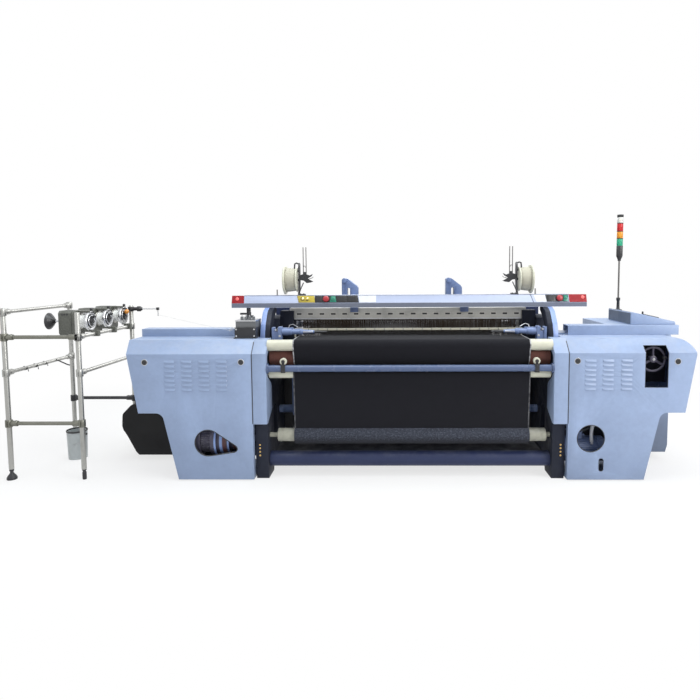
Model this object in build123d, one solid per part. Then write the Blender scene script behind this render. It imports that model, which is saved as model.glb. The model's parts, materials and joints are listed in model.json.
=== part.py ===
from build123d import *
import os
from math import acos, atan2, cos, hypot, pi, radians, sin

# A rapier power loom with its weft feeder stand, in millimetres.
# While a piece is made, X runs along the loom from its centre line, Y is the depth behind the
# front covers, and Z is the height above the floor. export() moves every piece by the same
# shift, so that the whole machine ends with its origin under the middle of its bounding box.

# Driving sizes: side frames
FRAME_IN = 1000.0           # half the clear width between the two side frames
FRAME_T = 88.0              # thickness of a side frame casting
FRAME_FRONT = 34.0          # front edge of a side frame
FRAME_RIB = 12.0            # depth that the panels of a side frame are set back from its rim
FRAME_RIM = 42.0            # width of that rim
FRAME_TOP = 985.0           # its top behind the healds
FRAME_SEAT = 944.0          # its top where the console's brackets stand
RUN_CLEAR = 0.05            # radial clearance of a journal in its bore
REST_GAP = 0.3              # gap beside a piece that moves past or lies on another
JOURNAL_R = 17.0            # journal of every roller
SEAT = 26.0                 # length of a journal inside its side frame

# Cloth, warp and their rollers, as depth and height of each axis
CLOTH_HALF = 832.0          # half the cloth width
CLOTH_SHIFT = 14.0          # the cloth lies this far right of the loom's centre
CLOTH_T = 1.2
CLOTH_Z = 990.0             # height of the cloth line
FELL_D = 309.5              # depth where the weft is beaten up
BREAST_R = 40.0
BREAST_AXIS = (85.0, 950.0)
EMERY_R = 58.0
EMERY_AXIS = (132.0, 860.0)
PRESS_R = 28.0
PRESS_ANGLE = -20.0         # where the press roller bears on the emery roller, from straight back
GUIDE_R = 36.0
GUIDE_AXIS = (90.0, 752.0)
ROLL_AXIS = (112.0, 300.0)
ROLL_R = 64.0               # cloth wound on the roll
ROLL_CORE_R = 47.0
ROLL_CORE_OUT = 122.0       # how far the core stands out of the wound cloth at each end
RAIL_R = 24.0
RAIL_AXIS = (30.0, 794.0)
RAIL_HALF = 991.0           # half its length
RAIL_CLAMP_X = 880.0
RAIL_PLATE = 12.0           # thickness of the plates that hold the rail's ends
BEAM_AXIS = (1396.0, 430.0)
BEAM_R = 300.0              # warp wound on the beam
FLANGE_R = 400.0
FLANGE_T = 24.0
HUB_R = 70.0
BACK_REST_AXIS = (1500.0, 985.0)
BACK_REST_R = 50.0
WARP_T = 1.6
WARP_END_D = 668.0          # the warp leaves for the healds here

# Warp stop motion, under and over the warp behind the healds
STOP_D = (1010.0, 1130.0)
STOP_Z = (940.0, 1078.0)
STOP_CHEEK = 18.0           # thickness of its end plates
STOP_RAILS = 4
STOP_RAIL_PITCH = 30.0
STOP_RAIL_Z = (1040.0, 1062.0)
STOP_TIE_Z = (950.0, 974.0)

# Cross members
FRONT_TUBE_AXIS = (124.0, 122.0)
FRONT_TUBE_R = 54.0
REAR_BEAM = (930.0, 177.0, 120.0, 92.0)     # depth, height, and its own depth and height
TOP_BEAM = (835.0, 1180.0, 90.0, 130.0)       # the same for the beam over the healds
BEAM_WALL = 8.0

# Sley
SLEY_PIVOT = (470.0, 400.0)
SLEY_SHAFT_R = 30.0
SLEY_END_GAP = 40.0         # between the sley beam and each side frame
SLEY_HALF = FRAME_IN - SLEY_END_GAP
SLEY_BEAM_D = (396.0, 486.0)
SLEY_BEAM_Z = (842.0, 922.0)
SWORD_INSET = 80.0          # from the beam's end to its outer sword
SWORD_MIDDLE = 300.0        # the middle swords from the loom's centre
SWORD_T = 26.0
REED_HALF = 868.0
REED_D = 418.0              # front of the reed
REED_DEEP = 8.0
REED_Z = (922.3, 1035.0)
REED_BAULK = 16.0
REED_GAPS = 24
RACE_DEEP = 48.0            # race board in front of the reed
RACE_T = 18.0

# Heald frames
HEALD_D = 560.0             # front of the first frame
HEALD_PITCH = 20.0
HEALD_T = 12.0
HEALD_END_GAP = 70.0        # between a frame's end and the side frame
HEALD_HALF = FRAME_IN - HEALD_END_GAP
STAVE_TOP = (1102.0, 1180.0)
STAVE_BOTTOM = (800.0, 868.0)
STAVE_SLOT = (38.0, 15.0)   # length and height of the slots in the top stave
STAVE_SLOTS = 20
STAVE_SLOT_MARGIN = 30.0    # plain length at each end of the top stave
STAVE_SLOT_Z = 1134.0
HEALD_ROD = 8.0             # rods that carry the healds
HEALD_GAPS = 8
HEALD_WIRE = 12.0
HEALD_WIRE_T = 2.0
FRAME_COUNT = 4
GUIDE_POST_D = (540.0, 660.0)
GUIDE_POST_Z = (700.0, 1160.0)
GUIDE_GROOVE = 34.0         # how deep the frames run in their guide posts

# Covers
SHEET = 3.0
COVER_IN = 1096.0           # inner edge of each front cover
COVER_OUT = 1970.0          # outer edge at shoulder height
COVER_LEDGE = 1901.0        # outer edge where the cover steps in
COVER_LEG = 1733.0          # outer edge of the leg under the step
COVER_LEG_FOOT = 1629.0
COVER_FOOT_Z = 10.0
LEDGE_Z = 484.0
SHOULDER_Z = 901.0
FACET = 90.0                # the slanted strip between the front and the top
COVER_DEEP = 420.0
COVER_FLANGE = 40.0         # what is left of a cover's inner wall beside the drive
DRIVE_GAP_Z = (60.0, 460.0)
LEDGE_ROUND = 55.0
LOUVRE = (72.0, 16.0, 33.0)  # width, height and pitch of the cooling slots
LOUVRE_ROWS = 7
LOUVRE_TOP_Z = 857.0
LOUVRE_HOOD = 8.0           # how far a louvre's hood stands out of the cover
LOUVRE_WALL = 2.0
LEFT_LOUVRES = (-1706.0, -1586.0, -1465.0, -1344.0)
RIGHT_LOUVRES = (1208.0, 1329.0, 1456.0)
LOCK_R = 14.0
LOCK_OUT = 8.0
WINDOW_X = (1618.0, 1774.0)
WINDOW_Z = (661.0, 946.0)
ROUND_HOLE = (1256.0, 302.0, 95.0)
SLOT_HOLE = (1330.0, 115.0, 33.0, 92.0)
TEAR_BIG = (-1415.0, 272.0, 93.0)
TEAR_TIP = (-1235.0, 231.0, 25.0)
INNER_COVER_DEEP = 185.0
INNER_COVER_FOOT = 405.0

# Rapier boxes, covers behind, hood and tower
RAPIER_AXIS = (362.0, 1012.0)
RAPIER_ROD = (26.0, 18.0)   # depth and height of a rapier rod
RAPIER_TIP = 905.0          # where the heads wait beside the cloth
RAPIER_TAIL = 1970.0
BOX_IN = (1276.0, 1178.0)   # inner ends of the left and right rapier boxes
BOX_OUT = 1990.0
BOX_D = (300.0, COVER_DEEP)
BOX_TOP = (1046.0, 1062.0)   # tops of the left and right rapier boxes
BOX_WALL = 5.0
DRIVE_COVER_D = (COVER_DEEP, 960.0)
DRIVE_COVER = (             # outline of the drive cover, in X and height
    (-1250.0, 45.0), (-2104.0, 45.0), (-2126.0, 69.0), (-2198.0, 210.0), (-2231.0, 256.0),
    (-2224.0, 368.0), (-2149.0, 445.0), (-1250.0, 445.0),
)
CABINET_X = (1500.0, 1995.0)
CABINET_D = (COVER_DEEP, 930.0)
CABINET_Z = (67.0, 1062.0)
HOOD_X = (1654.0, 1982.0)
HOOD_D = (336.0, 767.0)
HOOD_TOP = (1158.0, 1084.0)  # top of the hood at its inner and outer ends
TOWER_AT = (1690.0, 668.0)
TOWER_R = 24.0
POLE_R = 7.0
POLE_TOP = 1540.0
TIER_FOOT = 1660.0
TIER_GAP = 6.0
TIERS = (54.0, 50.0, 58.0, 44.0)    # green, amber, red and clear tier heights, from below
TOWER_CAP = 21.0

# Console beam
CONSOLE = (-1342.0, 1348.0)
CONSOLE_D = 400.0
CONSOLE_DEEP = 96.0
CONSOLE_Z = 1195.0
LIP = 34.0
FACE_HIGH = 59.0
FACE_LEAN = 15.0            # the face leans back by this much over its height
CONSOLE_WALL = 4.0
LAMP_LEFT = 95.0
LAMP_RIGHT = 132.0
LAMP_PANEL_X = (-843.0, -707.0)
BUTTON_GAP = 0.6
BUTTON_OUT = 5.0
BUTTON_LIP = 3.0
BUTTON_EDGE = 7.0           # from a button's outline to the edges of the console's face

# Leno units, frame guide arms, temples and weft selector
LENO_R = 112.0
LENO_X = 958.0
LENO_AXIS = (500.0, 1405.0)
LENO_WIDE = 110.0
LENO_PIN_R = 10.0           # the pin that a bobbin turns on
LENO_CUP = (50.0, 16.0)     # radius and depth of the hollow in its outer flange
GUIDE_ARM_X = (-535.0, 324.0)
GUIDE_ARM_WIDE = 133.0
GUIDE_NOSE = (-448.0, 412.0)  # left edges of the blocks that steady the first frame
GUIDE_NOSE_WIDE = 62.0
GUIDE_ARM_TOP = 1412.0
TEMPLE_D = (214.0, 272.0)
TEMPLE_TIP = 686.0          # where the temple's cap begins, from the loom's centre
TEMPLE_Z = 1028.0
TEMPLE_R = 24.0
YOKE_WIDE = 72.0            # the temple's fork on the side frame
YOKE_Z = (896.0, 1066.0)
YOKE_SLOT = (20.0, 46.0)    # its slot, measured from the side frame
SELECTOR_X = (-1252.0, -1099.0)
SELECTOR_HIGH = 92.0
SELECTOR_D = (150.0, 330.0)

# Drive
PULLEY_AXIS = (152.0, 262.0)
PULLEY_STEPS = ((118.0, 40.0), (96.0, 74.0), (122.0, 26.0), (108.0, 96.0), (84.0, 60.0))
PULLEY_SHAFT_R = 22.0
PULLEY_START = 1530.0       # outer face of the pulley from the loom's centre
WHEEL_AT = (1702.0, 846.0)
WHEEL_R = 92.0
WHEEL_D = (62.0, 92.0)
WHEEL_SHAFT_R = 14.0
MOTOR_AXIS = (172.0, 186.0)
MOTOR_R = 84.0
MOTOR_LONG = 320.0
MOTOR_FINS = 12

# Weft feeder stand
STAND_X = (-2841.0, -2318.0)
STAND_D = (32.0, 827.0)
LEG_R = 17.0
CROSS_R = 13.5
CLAMP_R = 26.0              # half the width of a clamp's block
FOOT_R = 34.0
FOOT_HIGH = 22.0
STEM_R = 8.0
STEM_HIGH = 40.0
LOW_BAR_Z = 405.0
MID_BAR_Z = 766.0
HIGH_BAR_Z = 1020.0         # the front cross tube and the tube that carries the feeders
TOP_BAR_Z = 1196.0
FEEDER_D = (262.0, 510.0, 758.0)
FEEDER_Z = 1112.0
FEEDER_BODY = (-2556.0, -2428.0)
FEEDER_HALF = 60.0          # half the depth of a feeder's body
FEEDER_TOP = 80.0           # body above and below the feeder's axis
FEEDER_FOOT = 104.0
DRUM_R = 50.0
DISC_R = 57.0
FEEDER_BOSS_R = 16.0        # what the winding disc turns on
DISC_T = 9.0
RING_R = 70.0
RING_HOLE_R = 54.0
RING_X = (-2364.0, -2344.0)
FUNNEL_R = 62.0
FUNNEL_X = (-2661.0, -2612.0)
EYE_AT = (-2091.0, 1163.0)
EYE_DROP = 58.0             # the yarn's pin hangs this far under the arm
EYE_R = 4.0
BUCKET_AT = (-2629.0, 492.0)
BUCKET_R = 74.0
BUCKET_HIGH = 228.0
BUCKET_WALL = 4.0
BUCKET_FLOOR = 6.0
BUCKET_TAPER = 6.0          # how much less the radius is at the floor
BUCKET_RIM = 10.0           # height of the rolled rim
YARN_R = 1.0

# How finely rounds are drawn
SMALL_R = 35.0              # bars and bores up to this radius have the fewest sides
SMALL_SIDES = 16
MEDIUM_R = 135.0            # and up to this one a few more
MEDIUM_SIDES = 24
LARGE_SIDES = 36
FLAT_CORNER = 36.0          # corners rounded by less than this are cut flat

# Worked out from the sizes above
FRAME_OUT = FRAME_IN + FRAME_T
FLANGE_OUT = FRAME_IN - 22.0
COVER_TOP_Z = SHOULDER_Z + FACET
LOOM_REAR = BEAM_AXIS[0] + FLANGE_R
LOOM_LEFT = STAND_X[0] - FOOT_R
SHIFT = (-(CABINET_X[1] + LOOM_LEFT) / 2, -(LOOM_REAR - LOCK_OUT) / 2, 0.0)
CLOTH_X = (CLOTH_SHIFT - CLOTH_HALF, CLOTH_SHIFT + CLOTH_HALF)
NIP = EMERY_R + PRESS_R + CLOTH_T + 2 * REST_GAP
PRESS_AXIS = (
    EMERY_AXIS[0] + NIP * cos(radians(PRESS_ANGLE)),
    EMERY_AXIS[1] + NIP * sin(radians(PRESS_ANGLE)),
)


# Shapes used by many pieces
def block(x, y, z):
    """A box between two corners, each axis given as a low and a high value."""
    size = (x[1] - x[0], y[1] - y[0], z[1] - z[0])
    return Pos((x[0] + x[1]) / 2, (y[0] + y[1]) / 2, (z[0] + z[1]) / 2) * Box(*size)


def sides_of(r):
    """How many flat sides stand for a circle of this radius."""
    if r <= SMALL_R:
        return SMALL_SIDES
    return MEDIUM_SIDES if r <= MEDIUM_R else LARGE_SIDES


def disc(r, bore=False, true=False):
    """The section of a round bar or bore: a true circle where a piece turns, else a polygon.

    A bar's polygon lies inside its circle and a bore's outside it, so that a shaft still turns.
    """
    if true:
        return Circle(r)
    return RegularPolygon(r, sides_of(r), major_radius=not bore)


def round_x(axis, r, x, bore=False, true=False):
    """A round bar along X round the point axis = (depth, height)."""
    return Pos(x[0], axis[0], axis[1]) * Rot(0, 90, 0) * extrude(disc(r, bore, true), amount=x[1] - x[0])


def round_y(at, r, y, bore=False, true=False):
    """A round bar along Y round the point at = (x, height)."""
    return Pos(at[0], y[0], at[1]) * Rot(-90, 0, 0) * extrude(disc(r, bore, true), amount=y[1] - y[0])


def round_z(at, r, z, bore=False):
    """A round bar along Z round the point at = (x, depth)."""
    return Pos(at[0], at[1], z[0]) * extrude(disc(r, bore), amount=z[1] - z[0])


def turned(stops):
    """A solid along Z through stops of (height, radius), with flat sides in place of a round."""
    sides = sides_of(max(r for _, r in stops))
    turns = [2 * pi * k / sides for k in range(sides)]
    rings = [[(r * cos(turn), r * sin(turn), z) for turn in turns] for z, r in stops]
    faces = [make_face(Polyline(*ring, close=True)) for ring in (rings[0], rings[-1])]
    for low, high in zip(rings, rings[1:]):
        for k in range(sides):
            n = (k + 1) % sides
            faces.append(make_face(Polyline(low[k], low[n], high[n], high[k], close=True)))
    solid = Solid(Shell([face.face() for face in faces]))
    return solid if solid.volume > 0 else -solid


def rounded(points, rounds=()):
    """A flat outline whose listed corners, as (index, size), are rounded, the small ones by a flat."""
    face = make_face(Polyline(*points, close=True))
    for index, size in rounds:
        corner = Vector(*points[index])
        nearest = min(face.vertices(), key=lambda v: (Vector(v.X, v.Y) - corner).length)
        face = fillet(nearest, size) if size > FLAT_CORNER else chamfer(nearest, size * 0.6)
    return face


def front_plate(face, y):
    """Extrude an outline drawn in X and Z between two depths."""
    return Pos(0, y[0], 0) * extrude(Plane.XZ * face, amount=-(y[1] - y[0]))


def side_plate(face, x):
    """Extrude an outline drawn in depth and height between two X values."""
    return Pos(x[0], 0, 0) * extrude(Plane.YZ * face, amount=x[1] - x[0])


def top_plate(face, z):
    """Extrude an outline drawn in X and Y between two heights."""
    return Pos(0, 0, z[0]) * extrude(face, amount=z[1] - z[0])


def tube_between(start, end, r):
    """A round bar from one point to another."""
    line = Line(start, end)
    return sweep(Plane(origin=start, z_dir=line % 0) * Circle(r), path=line)


def mirrored(shape):
    return mirror(shape, about=Plane.YZ)


def loose(*shapes):
    """Several separate solids of one sub-part."""
    solids = [solid for shape in shapes for solid in shape.solids()]
    return Compound(children=solids)


def export(name, shape):
    export_step(shape.moved(Location(SHIFT)), f"parts/{name}.step")


def wrap_path(*stops):
    """The path in depth and height of a sheet led round circles (centre, radius, turn).

    turn is 1 where the sheet runs counter-clockwise round the circle and -1 where clockwise.
    The path starts where it leaves the first stop and ends where it meets the last one. A stop
    with no radius is a point.
    """
    touch = []
    for (c0, r0, t0), (c1, r1, t1) in zip(stops, stops[1:]):
        gap = hypot(c1[0] - c0[0], c1[1] - c0[1])
        along = atan2(c1[1] - c0[1], c1[0] - c0[0])
        lean = acos((r0 * t0 - r1 * t1) / gap)
        angle = along - lean
        touch.append((
            (c0[0] + r0 * t0 * cos(angle), c0[1] + r0 * t0 * sin(angle)),
            (c1[0] + r1 * t1 * cos(angle), c1[1] + r1 * t1 * sin(angle)),
        ))
    edges = []
    for index, (leave, arrive) in enumerate(touch):
        edges.append(Line((0, *leave), (0, *arrive)))
        if index + 1 < len(touch):
            (centre, radius, turn) = stops[index + 1]
            first = atan2(arrive[1] - centre[1], arrive[0] - centre[0])
            last = atan2(touch[index + 1][0][1] - centre[1], touch[index + 1][0][0] - centre[0])
            sweep_angle = (last - first) * turn % (2 * pi) * turn
            half = first + sweep_angle / 2
            middle = (centre[0] + radius * cos(half), centre[1] + radius * sin(half))
            edges.append(ThreePointArc((0, *arrive), (0, *middle), (0, *touch[index + 1][0])))
    return Wire([edge.edge() if hasattr(edge, "edge") else edge for edge in edges])


def sheet_along(path, x, thick):
    """A thin sheet, as wide as x, that follows a path in depth and height."""
    start = path @ 0
    profile = Plane(origin=start, z_dir=path % 0, x_dir=(1, 0, 0)) * Rectangle(x[1] - x[0], thick)
    return Pos((x[0] + x[1]) / 2, 0, 0) * sweep(profile, path=path)


# Side frames and cross members
FRAME_OUTLINE = (
    (FRAME_FRONT + 16, 0), (214, 0), (240, 84), (330, 124), (1040, 124), (1146, 84), (1176, 0),
    (1420, 0), (1500, 330), (1500, 560), (1585, 900), (1585, 1040), (1432, 1040), (1330, FRAME_TOP),
    (745, FRAME_TOP), (700, 1120), (524, 1120), (468, FRAME_SEAT), (222, FRAME_SEAT), (180, 988),
    (110, 988),
    (FRAME_FRONT, 905), (FRAME_FRONT, 60),
)
FRAME_ROUNDS = (
    (3, 60), (4, 60), (8, 60), (9, 60), (10, 40), (11, 40), (13, 40), (14, 30), (15, 30),
    (16, 30), (17, 30), (18, 12), (19, 20),
)
FRAME_WINDOWS = (
    ((240, 250), (380, 250), (330, 480), (240, 480)),
    ((640, 230), (1040, 230), (1110, 430), (900, 560), (640, 560)),
    ((620, 650), (860, 650), (860, 900), (620, 900)),
    ((960, 640), (1240, 560), (1360, 800), (1340, 890), (960, 890)),
)
WINDOW_ROUND = 35.0


def frame_bores():
    """Every journal that runs in a side frame, as its axis and radius."""
    rollers = (EMERY_AXIS, PRESS_AXIS, GUIDE_AXIS, ROLL_AXIS, BACK_REST_AXIS)
    bores = [(axis, JOURNAL_R) for axis in rollers]
    bores.append((SLEY_PIVOT, SLEY_SHAFT_R))
    bores.append((BEAM_AXIS, SLEY_SHAFT_R))
    return bores


def side_frame(side):
    """A side frame (side 1 right, -1 left): a cast plate with recessed panels and open windows."""
    frame = side_plate(rounded(FRAME_OUTLINE, FRAME_ROUNDS), sorted((side * FRAME_IN, side * FRAME_OUT)))
    through = sorted((side * (FRAME_IN - 1), side * (FRAME_OUT + 1)))
    recess = sorted((side * (FRAME_OUT - FRAME_RIB), side * (FRAME_OUT + 1)))
    for window in FRAME_WINDOWS:
        corners = [(index, WINDOW_ROUND) for index in range(len(window))]
        frame -= side_plate(rounded(window, corners), through)
        rim = offset(rounded(window), amount=FRAME_RIM, kind=Kind.INTERSECTION)
        frame -= side_plate(rim, recess)
    seat = sorted((side * (FRAME_IN - 1), side * (FRAME_IN + SEAT + 1)))
    for axis, r in frame_bores():
        frame -= round_x(axis, r + RUN_CLEAR, seat, bore=True)
    return frame


def left_side_frame():
    """The left side frame, which also carries the drive pulley's shaft on its outer side."""
    seat = (-FRAME_OUT - 1, -FRAME_OUT + SEAT + 1)
    return side_frame(-1) - round_x(PULLEY_AXIS, PULLEY_SHAFT_R + RUN_CLEAR, seat, bore=True)


def cross_members():
    """The round front tube and the two box beams that hold the side frames apart."""
    span = (-FRAME_IN, FRAME_IN)
    tube = round_x(FRONT_TUBE_AXIS, FRONT_TUBE_R, span)
    tube -= round_x(FRONT_TUBE_AXIS, FRONT_TUBE_R - BEAM_WALL, (-FRAME_IN - 1, FRAME_IN + 1))
    beams = []
    for depth, height, deep, high in (REAR_BEAM, TOP_BEAM):
        y = (depth - deep / 2, depth + deep / 2)
        z = (height - high / 2, height + high / 2)
        inner_y = (y[0] + BEAM_WALL, y[1] - BEAM_WALL)
        inner_z = (z[0] + BEAM_WALL, z[1] - BEAM_WALL)
        beam = block(span, y, z) - block((span[0] - 1, span[1] + 1), inner_y, inner_z)
        beams.append(beam)
    top_y = TOP_BEAM[0] - TOP_BEAM[2] / 2
    top_foot = TOP_BEAM[1] - TOP_BEAM[3] / 2
    ends = []
    for side in (-1, 1):
        x = sorted((side * FRAME_IN, side * FRAME_OUT))
        stand = block(x, (top_y, top_y + TOP_BEAM[2]), (FRAME_TOP, TOP_BEAM[1] + TOP_BEAM[3] / 2))
        ends.append(stand)
    return loose(tube, beams[0], beams[1] + ends[0] + ends[1])


# Rollers that run in the side frames
def shaft(axis, r):
    """A shaft from one side frame to the other: flat-sided between them and round in its seats."""
    ends = [round_x(axis, r, sorted((side * (FRAME_IN - SEAT), side * (FRAME_IN + SEAT))), true=True)
            for side in (-1, 1)]
    return ends[0] + round_x(axis, r, (-FRAME_IN + SEAT, FRAME_IN - SEAT)) + ends[1]


def roller(axis, r, half):
    """A roller with a round journal at each end that sits in the side frames."""
    return shaft(axis, JOURNAL_R) + round_x(axis, r, (-half, half))


def cloth_roll_core():
    core = round_x(ROLL_AXIS, ROLL_CORE_R, (CLOTH_X[0] - ROLL_CORE_OUT, CLOTH_X[1] + ROLL_CORE_OUT))
    return core + shaft(ROLL_AXIS, JOURNAL_R)


def cloth_roll_fabric():
    wound = round_x(ROLL_AXIS, ROLL_R, CLOTH_X)
    return wound - round_x(ROLL_AXIS, ROLL_CORE_R, (CLOTH_X[0] - 1, CLOTH_X[1] + 1), bore=True)


def warp_beam():
    """The beam's barrel with its wound warp, and a ribbed flange at each end."""
    beam = round_x(BEAM_AXIS, BEAM_R, CLOTH_X)
    beam += shaft(BEAM_AXIS, SLEY_SHAFT_R)
    for side in (-1, 1):
        near = CLOTH_X[0] - FLANGE_T if side < 0 else CLOTH_X[1]
        beam += round_x(BEAM_AXIS, FLANGE_R, (near, near + FLANGE_T))
        hub = (-FLANGE_OUT, near) if side < 0 else (near + FLANGE_T, FLANGE_OUT)
        beam += round_x(BEAM_AXIS, HUB_R, hub)
    return beam


# Cloth and warp
def woven_cloth():
    lay = REST_GAP + CLOTH_T / 2
    path = wrap_path(
        ((FELL_D, CLOTH_Z + lay), 0.0, 1),
        (BREAST_AXIS, BREAST_R + lay, 1),
        (EMERY_AXIS, EMERY_R + lay, 1),
        (PRESS_AXIS, PRESS_R + lay, -1),
        (GUIDE_AXIS, GUIDE_R + lay, 1),
        (ROLL_AXIS, ROLL_R + lay, 1),
    )
    return sheet_along(path, CLOTH_X, CLOTH_T)


def warp_sheet():
    lay = REST_GAP + WARP_T / 2
    path = wrap_path(
        (BEAM_AXIS, BEAM_R + lay, 1),
        (BACK_REST_AXIS, BACK_REST_R + lay, 1),
        ((WARP_END_D, CLOTH_Z + lay), 0.0, 1),
    )
    return sheet_along(path, CLOTH_X, WARP_T)


def warp_stop_motion():
    """Two end cheeks, the rails that the drop wires ride on, and a tie bar under the warp."""
    near = FRAME_IN - STOP_CHEEK
    cheek = block((near, FRAME_IN), STOP_D, STOP_Z)
    body = cheek + mirrored(cheek)
    for rail in range(STOP_RAILS):
        depth = STOP_D[0] + STOP_RAIL_PITCH * (rail + 0.5)
        body += block((-near, near), (depth - 3, depth + 3), STOP_RAIL_Z)
    return body + block((-near, near), (STOP_D[0] + 40, STOP_D[1] - 40), STOP_TIE_Z)


# Sley and reed
def sley():
    """The rocking shaft with its swords, the sley beam and the race board."""
    body = shaft(SLEY_PIVOT, SLEY_SHAFT_R)
    beam_foot = SLEY_BEAM_Z[0]
    outer = SLEY_HALF - SWORD_INSET
    for x in (-outer, -SWORD_MIDDLE, SWORD_MIDDLE, outer):
        profile = (
            (SLEY_PIVOT[0] - 62, SLEY_PIVOT[1]), (SLEY_PIVOT[0] - 40, SLEY_PIVOT[1] - 50),
            (SLEY_PIVOT[0] + 40, SLEY_PIVOT[1] - 50), (SLEY_PIVOT[0] + 62, SLEY_PIVOT[1]),
            (SLEY_BEAM_D[1] - 12, beam_foot), (SLEY_BEAM_D[0] + 12, beam_foot),
        )
        corners = [(index, 24) for index in range(4)]
        body += side_plate(rounded(profile, corners), (x - SWORD_T / 2, x + SWORD_T / 2))
    body += block((-SLEY_HALF, SLEY_HALF), SLEY_BEAM_D, SLEY_BEAM_Z)
    race_y = (REED_D - REST_GAP - RACE_DEEP, REED_D - REST_GAP)
    body += block((-SLEY_HALF, SLEY_HALF), race_y, (SLEY_BEAM_Z[1], SLEY_BEAM_Z[1] + RACE_T))
    clamp_y = (REED_D + REED_DEEP + REST_GAP, REED_D + REED_DEEP + 22)
    body += block((-SLEY_HALF, SLEY_HALF), clamp_y, (SLEY_BEAM_Z[1], SLEY_BEAM_Z[1] + RACE_T))
    return body


def reed():
    """The comb that beats up the weft: two baulks and the dents between them."""
    y = (REED_D, REED_D + REED_DEEP)
    body = block((-REED_HALF, REED_HALF), y, REED_Z)
    body += block((-REED_HALF, REED_HALF), (y[0] - 3, y[1] + 3), (REED_Z[1] - REED_BAULK, REED_Z[1]))
    dents = (REED_Z[0] + REED_BAULK + 6, REED_Z[1] - REED_BAULK)
    pitch = 2 * REED_HALF / (REED_GAPS + 1)
    width = pitch * 0.55
    gaps = []
    for index in range(REED_GAPS):
        middle = -REED_HALF + pitch * (index + 1)
        gaps.append(block((middle - width / 2, middle + width / 2), (y[0] - 4, y[1] + 4), dents))
    return body - gaps


# Heald frames
def heald_frame(index):
    """One frame: two staves, end struts, slots in the top stave and the healds between them."""
    front = HEALD_D + index * HEALD_PITCH
    y = (front, front + HEALD_T)
    outer = block((-HEALD_HALF, HEALD_HALF), y, (STAVE_BOTTOM[0], STAVE_TOP[1]))
    strut = 24.0
    inside = (-HEALD_HALF + strut, HEALD_HALF - strut)
    body = outer - block(inside, (y[0] - 1, y[1] + 1), (STAVE_BOTTOM[1], STAVE_TOP[0]))
    middle = (y[0] + y[1]) / 2
    wire_y = (middle - HEALD_WIRE_T / 2, middle + HEALD_WIRE_T / 2)
    wires = block(inside, wire_y, (STAVE_BOTTOM[1], STAVE_TOP[0]))
    pitch = (inside[1] - inside[0]) / HEALD_GAPS
    gap = pitch - HEALD_WIRE
    cuts = []
    for number in range(HEALD_GAPS):
        centre = inside[0] + pitch * (number + 0.5)
        z = (STAVE_BOTTOM[1] + HEALD_ROD, STAVE_TOP[0] - HEALD_ROD)
        cuts.append(block((centre - gap / 2, centre + gap / 2), (y[0] - 1, y[1] + 1), z))
    body += wires - cuts
    slots = []
    slot_pitch = 2 * (HEALD_HALF - STAVE_SLOT_MARGIN) / STAVE_SLOTS
    for number in range(STAVE_SLOTS):
        centre = (number - (STAVE_SLOTS - 1) / 2) * slot_pitch
        slot_x = (centre - STAVE_SLOT[0] / 2, centre + STAVE_SLOT[0] / 2)
        slot_z = (STAVE_SLOT_Z - STAVE_SLOT[1] / 2, STAVE_SLOT_Z + STAVE_SLOT[1] / 2)
        slots.append(block(slot_x, (y[0] - 1, y[1] + 1), slot_z))
    return body - slots


def heald_guides():
    """Grooved posts on the side frames, and two cast arms on the top beam."""
    near = HEALD_HALF - GUIDE_GROOVE
    post = block((near, FRAME_IN), GUIDE_POST_D, GUIDE_POST_Z)
    for index in range(FRAME_COUNT):
        front = HEALD_D + index * HEALD_PITCH
        groove_y = (front - REST_GAP, front + HEALD_T + REST_GAP)
        groove_x = (near - 1, HEALD_HALF + REST_GAP)
        post -= block(groove_x, groove_y, (GUIDE_POST_Z[0] - 1, GUIDE_POST_Z[1] + 1))
    beam_top = TOP_BEAM[1] + TOP_BEAM[3] / 2
    beam_front = TOP_BEAM[0] - TOP_BEAM[2] / 2
    beam_back = beam_front + TOP_BEAM[2]
    pieces = [post, mirrored(post)]
    for left in GUIDE_ARM_X:
        right = left + GUIDE_ARM_WIDE
        outline = (
            (left, beam_top), (left, GUIDE_ARM_TOP), (left + 40, GUIDE_ARM_TOP),
            (right - 8, GUIDE_ARM_TOP - 66), (right, GUIDE_ARM_TOP - 84), (right, beam_top),
            (left + 66, beam_top), (left + 66, beam_top + 86), (left + 44, beam_top + 86),
            (left + 44, beam_top),
        )
        corners = ((1, 20), (2, 20), (3, 12), (7, 10), (8, 10))
        arm = front_plate(rounded(outline, corners), (beam_front, beam_back))
        rib = (beam_front - 20, beam_front)
        arm += block((left, left + 18), rib, (beam_top + 20, GUIDE_ARM_TOP - 20))
        arm += round_y((left + 20, GUIDE_ARM_TOP - 20), 20.0, (rib[0] - 8, beam_back))
        nose = GUIDE_NOSE[GUIDE_ARM_X.index(left)]
        reach = (HEALD_D - 40, beam_front)
        foot = beam_top + 6
        arm += block((nose, nose + 24), reach, (foot, foot + 26))
        nose_z = (STAVE_TOP[1] - 30, foot + 26)
        arm += block((nose, nose + GUIDE_NOSE_WIDE), (reach[0], reach[0] + 22), nose_z)
        pieces.append(arm)
    return loose(*pieces)


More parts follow.
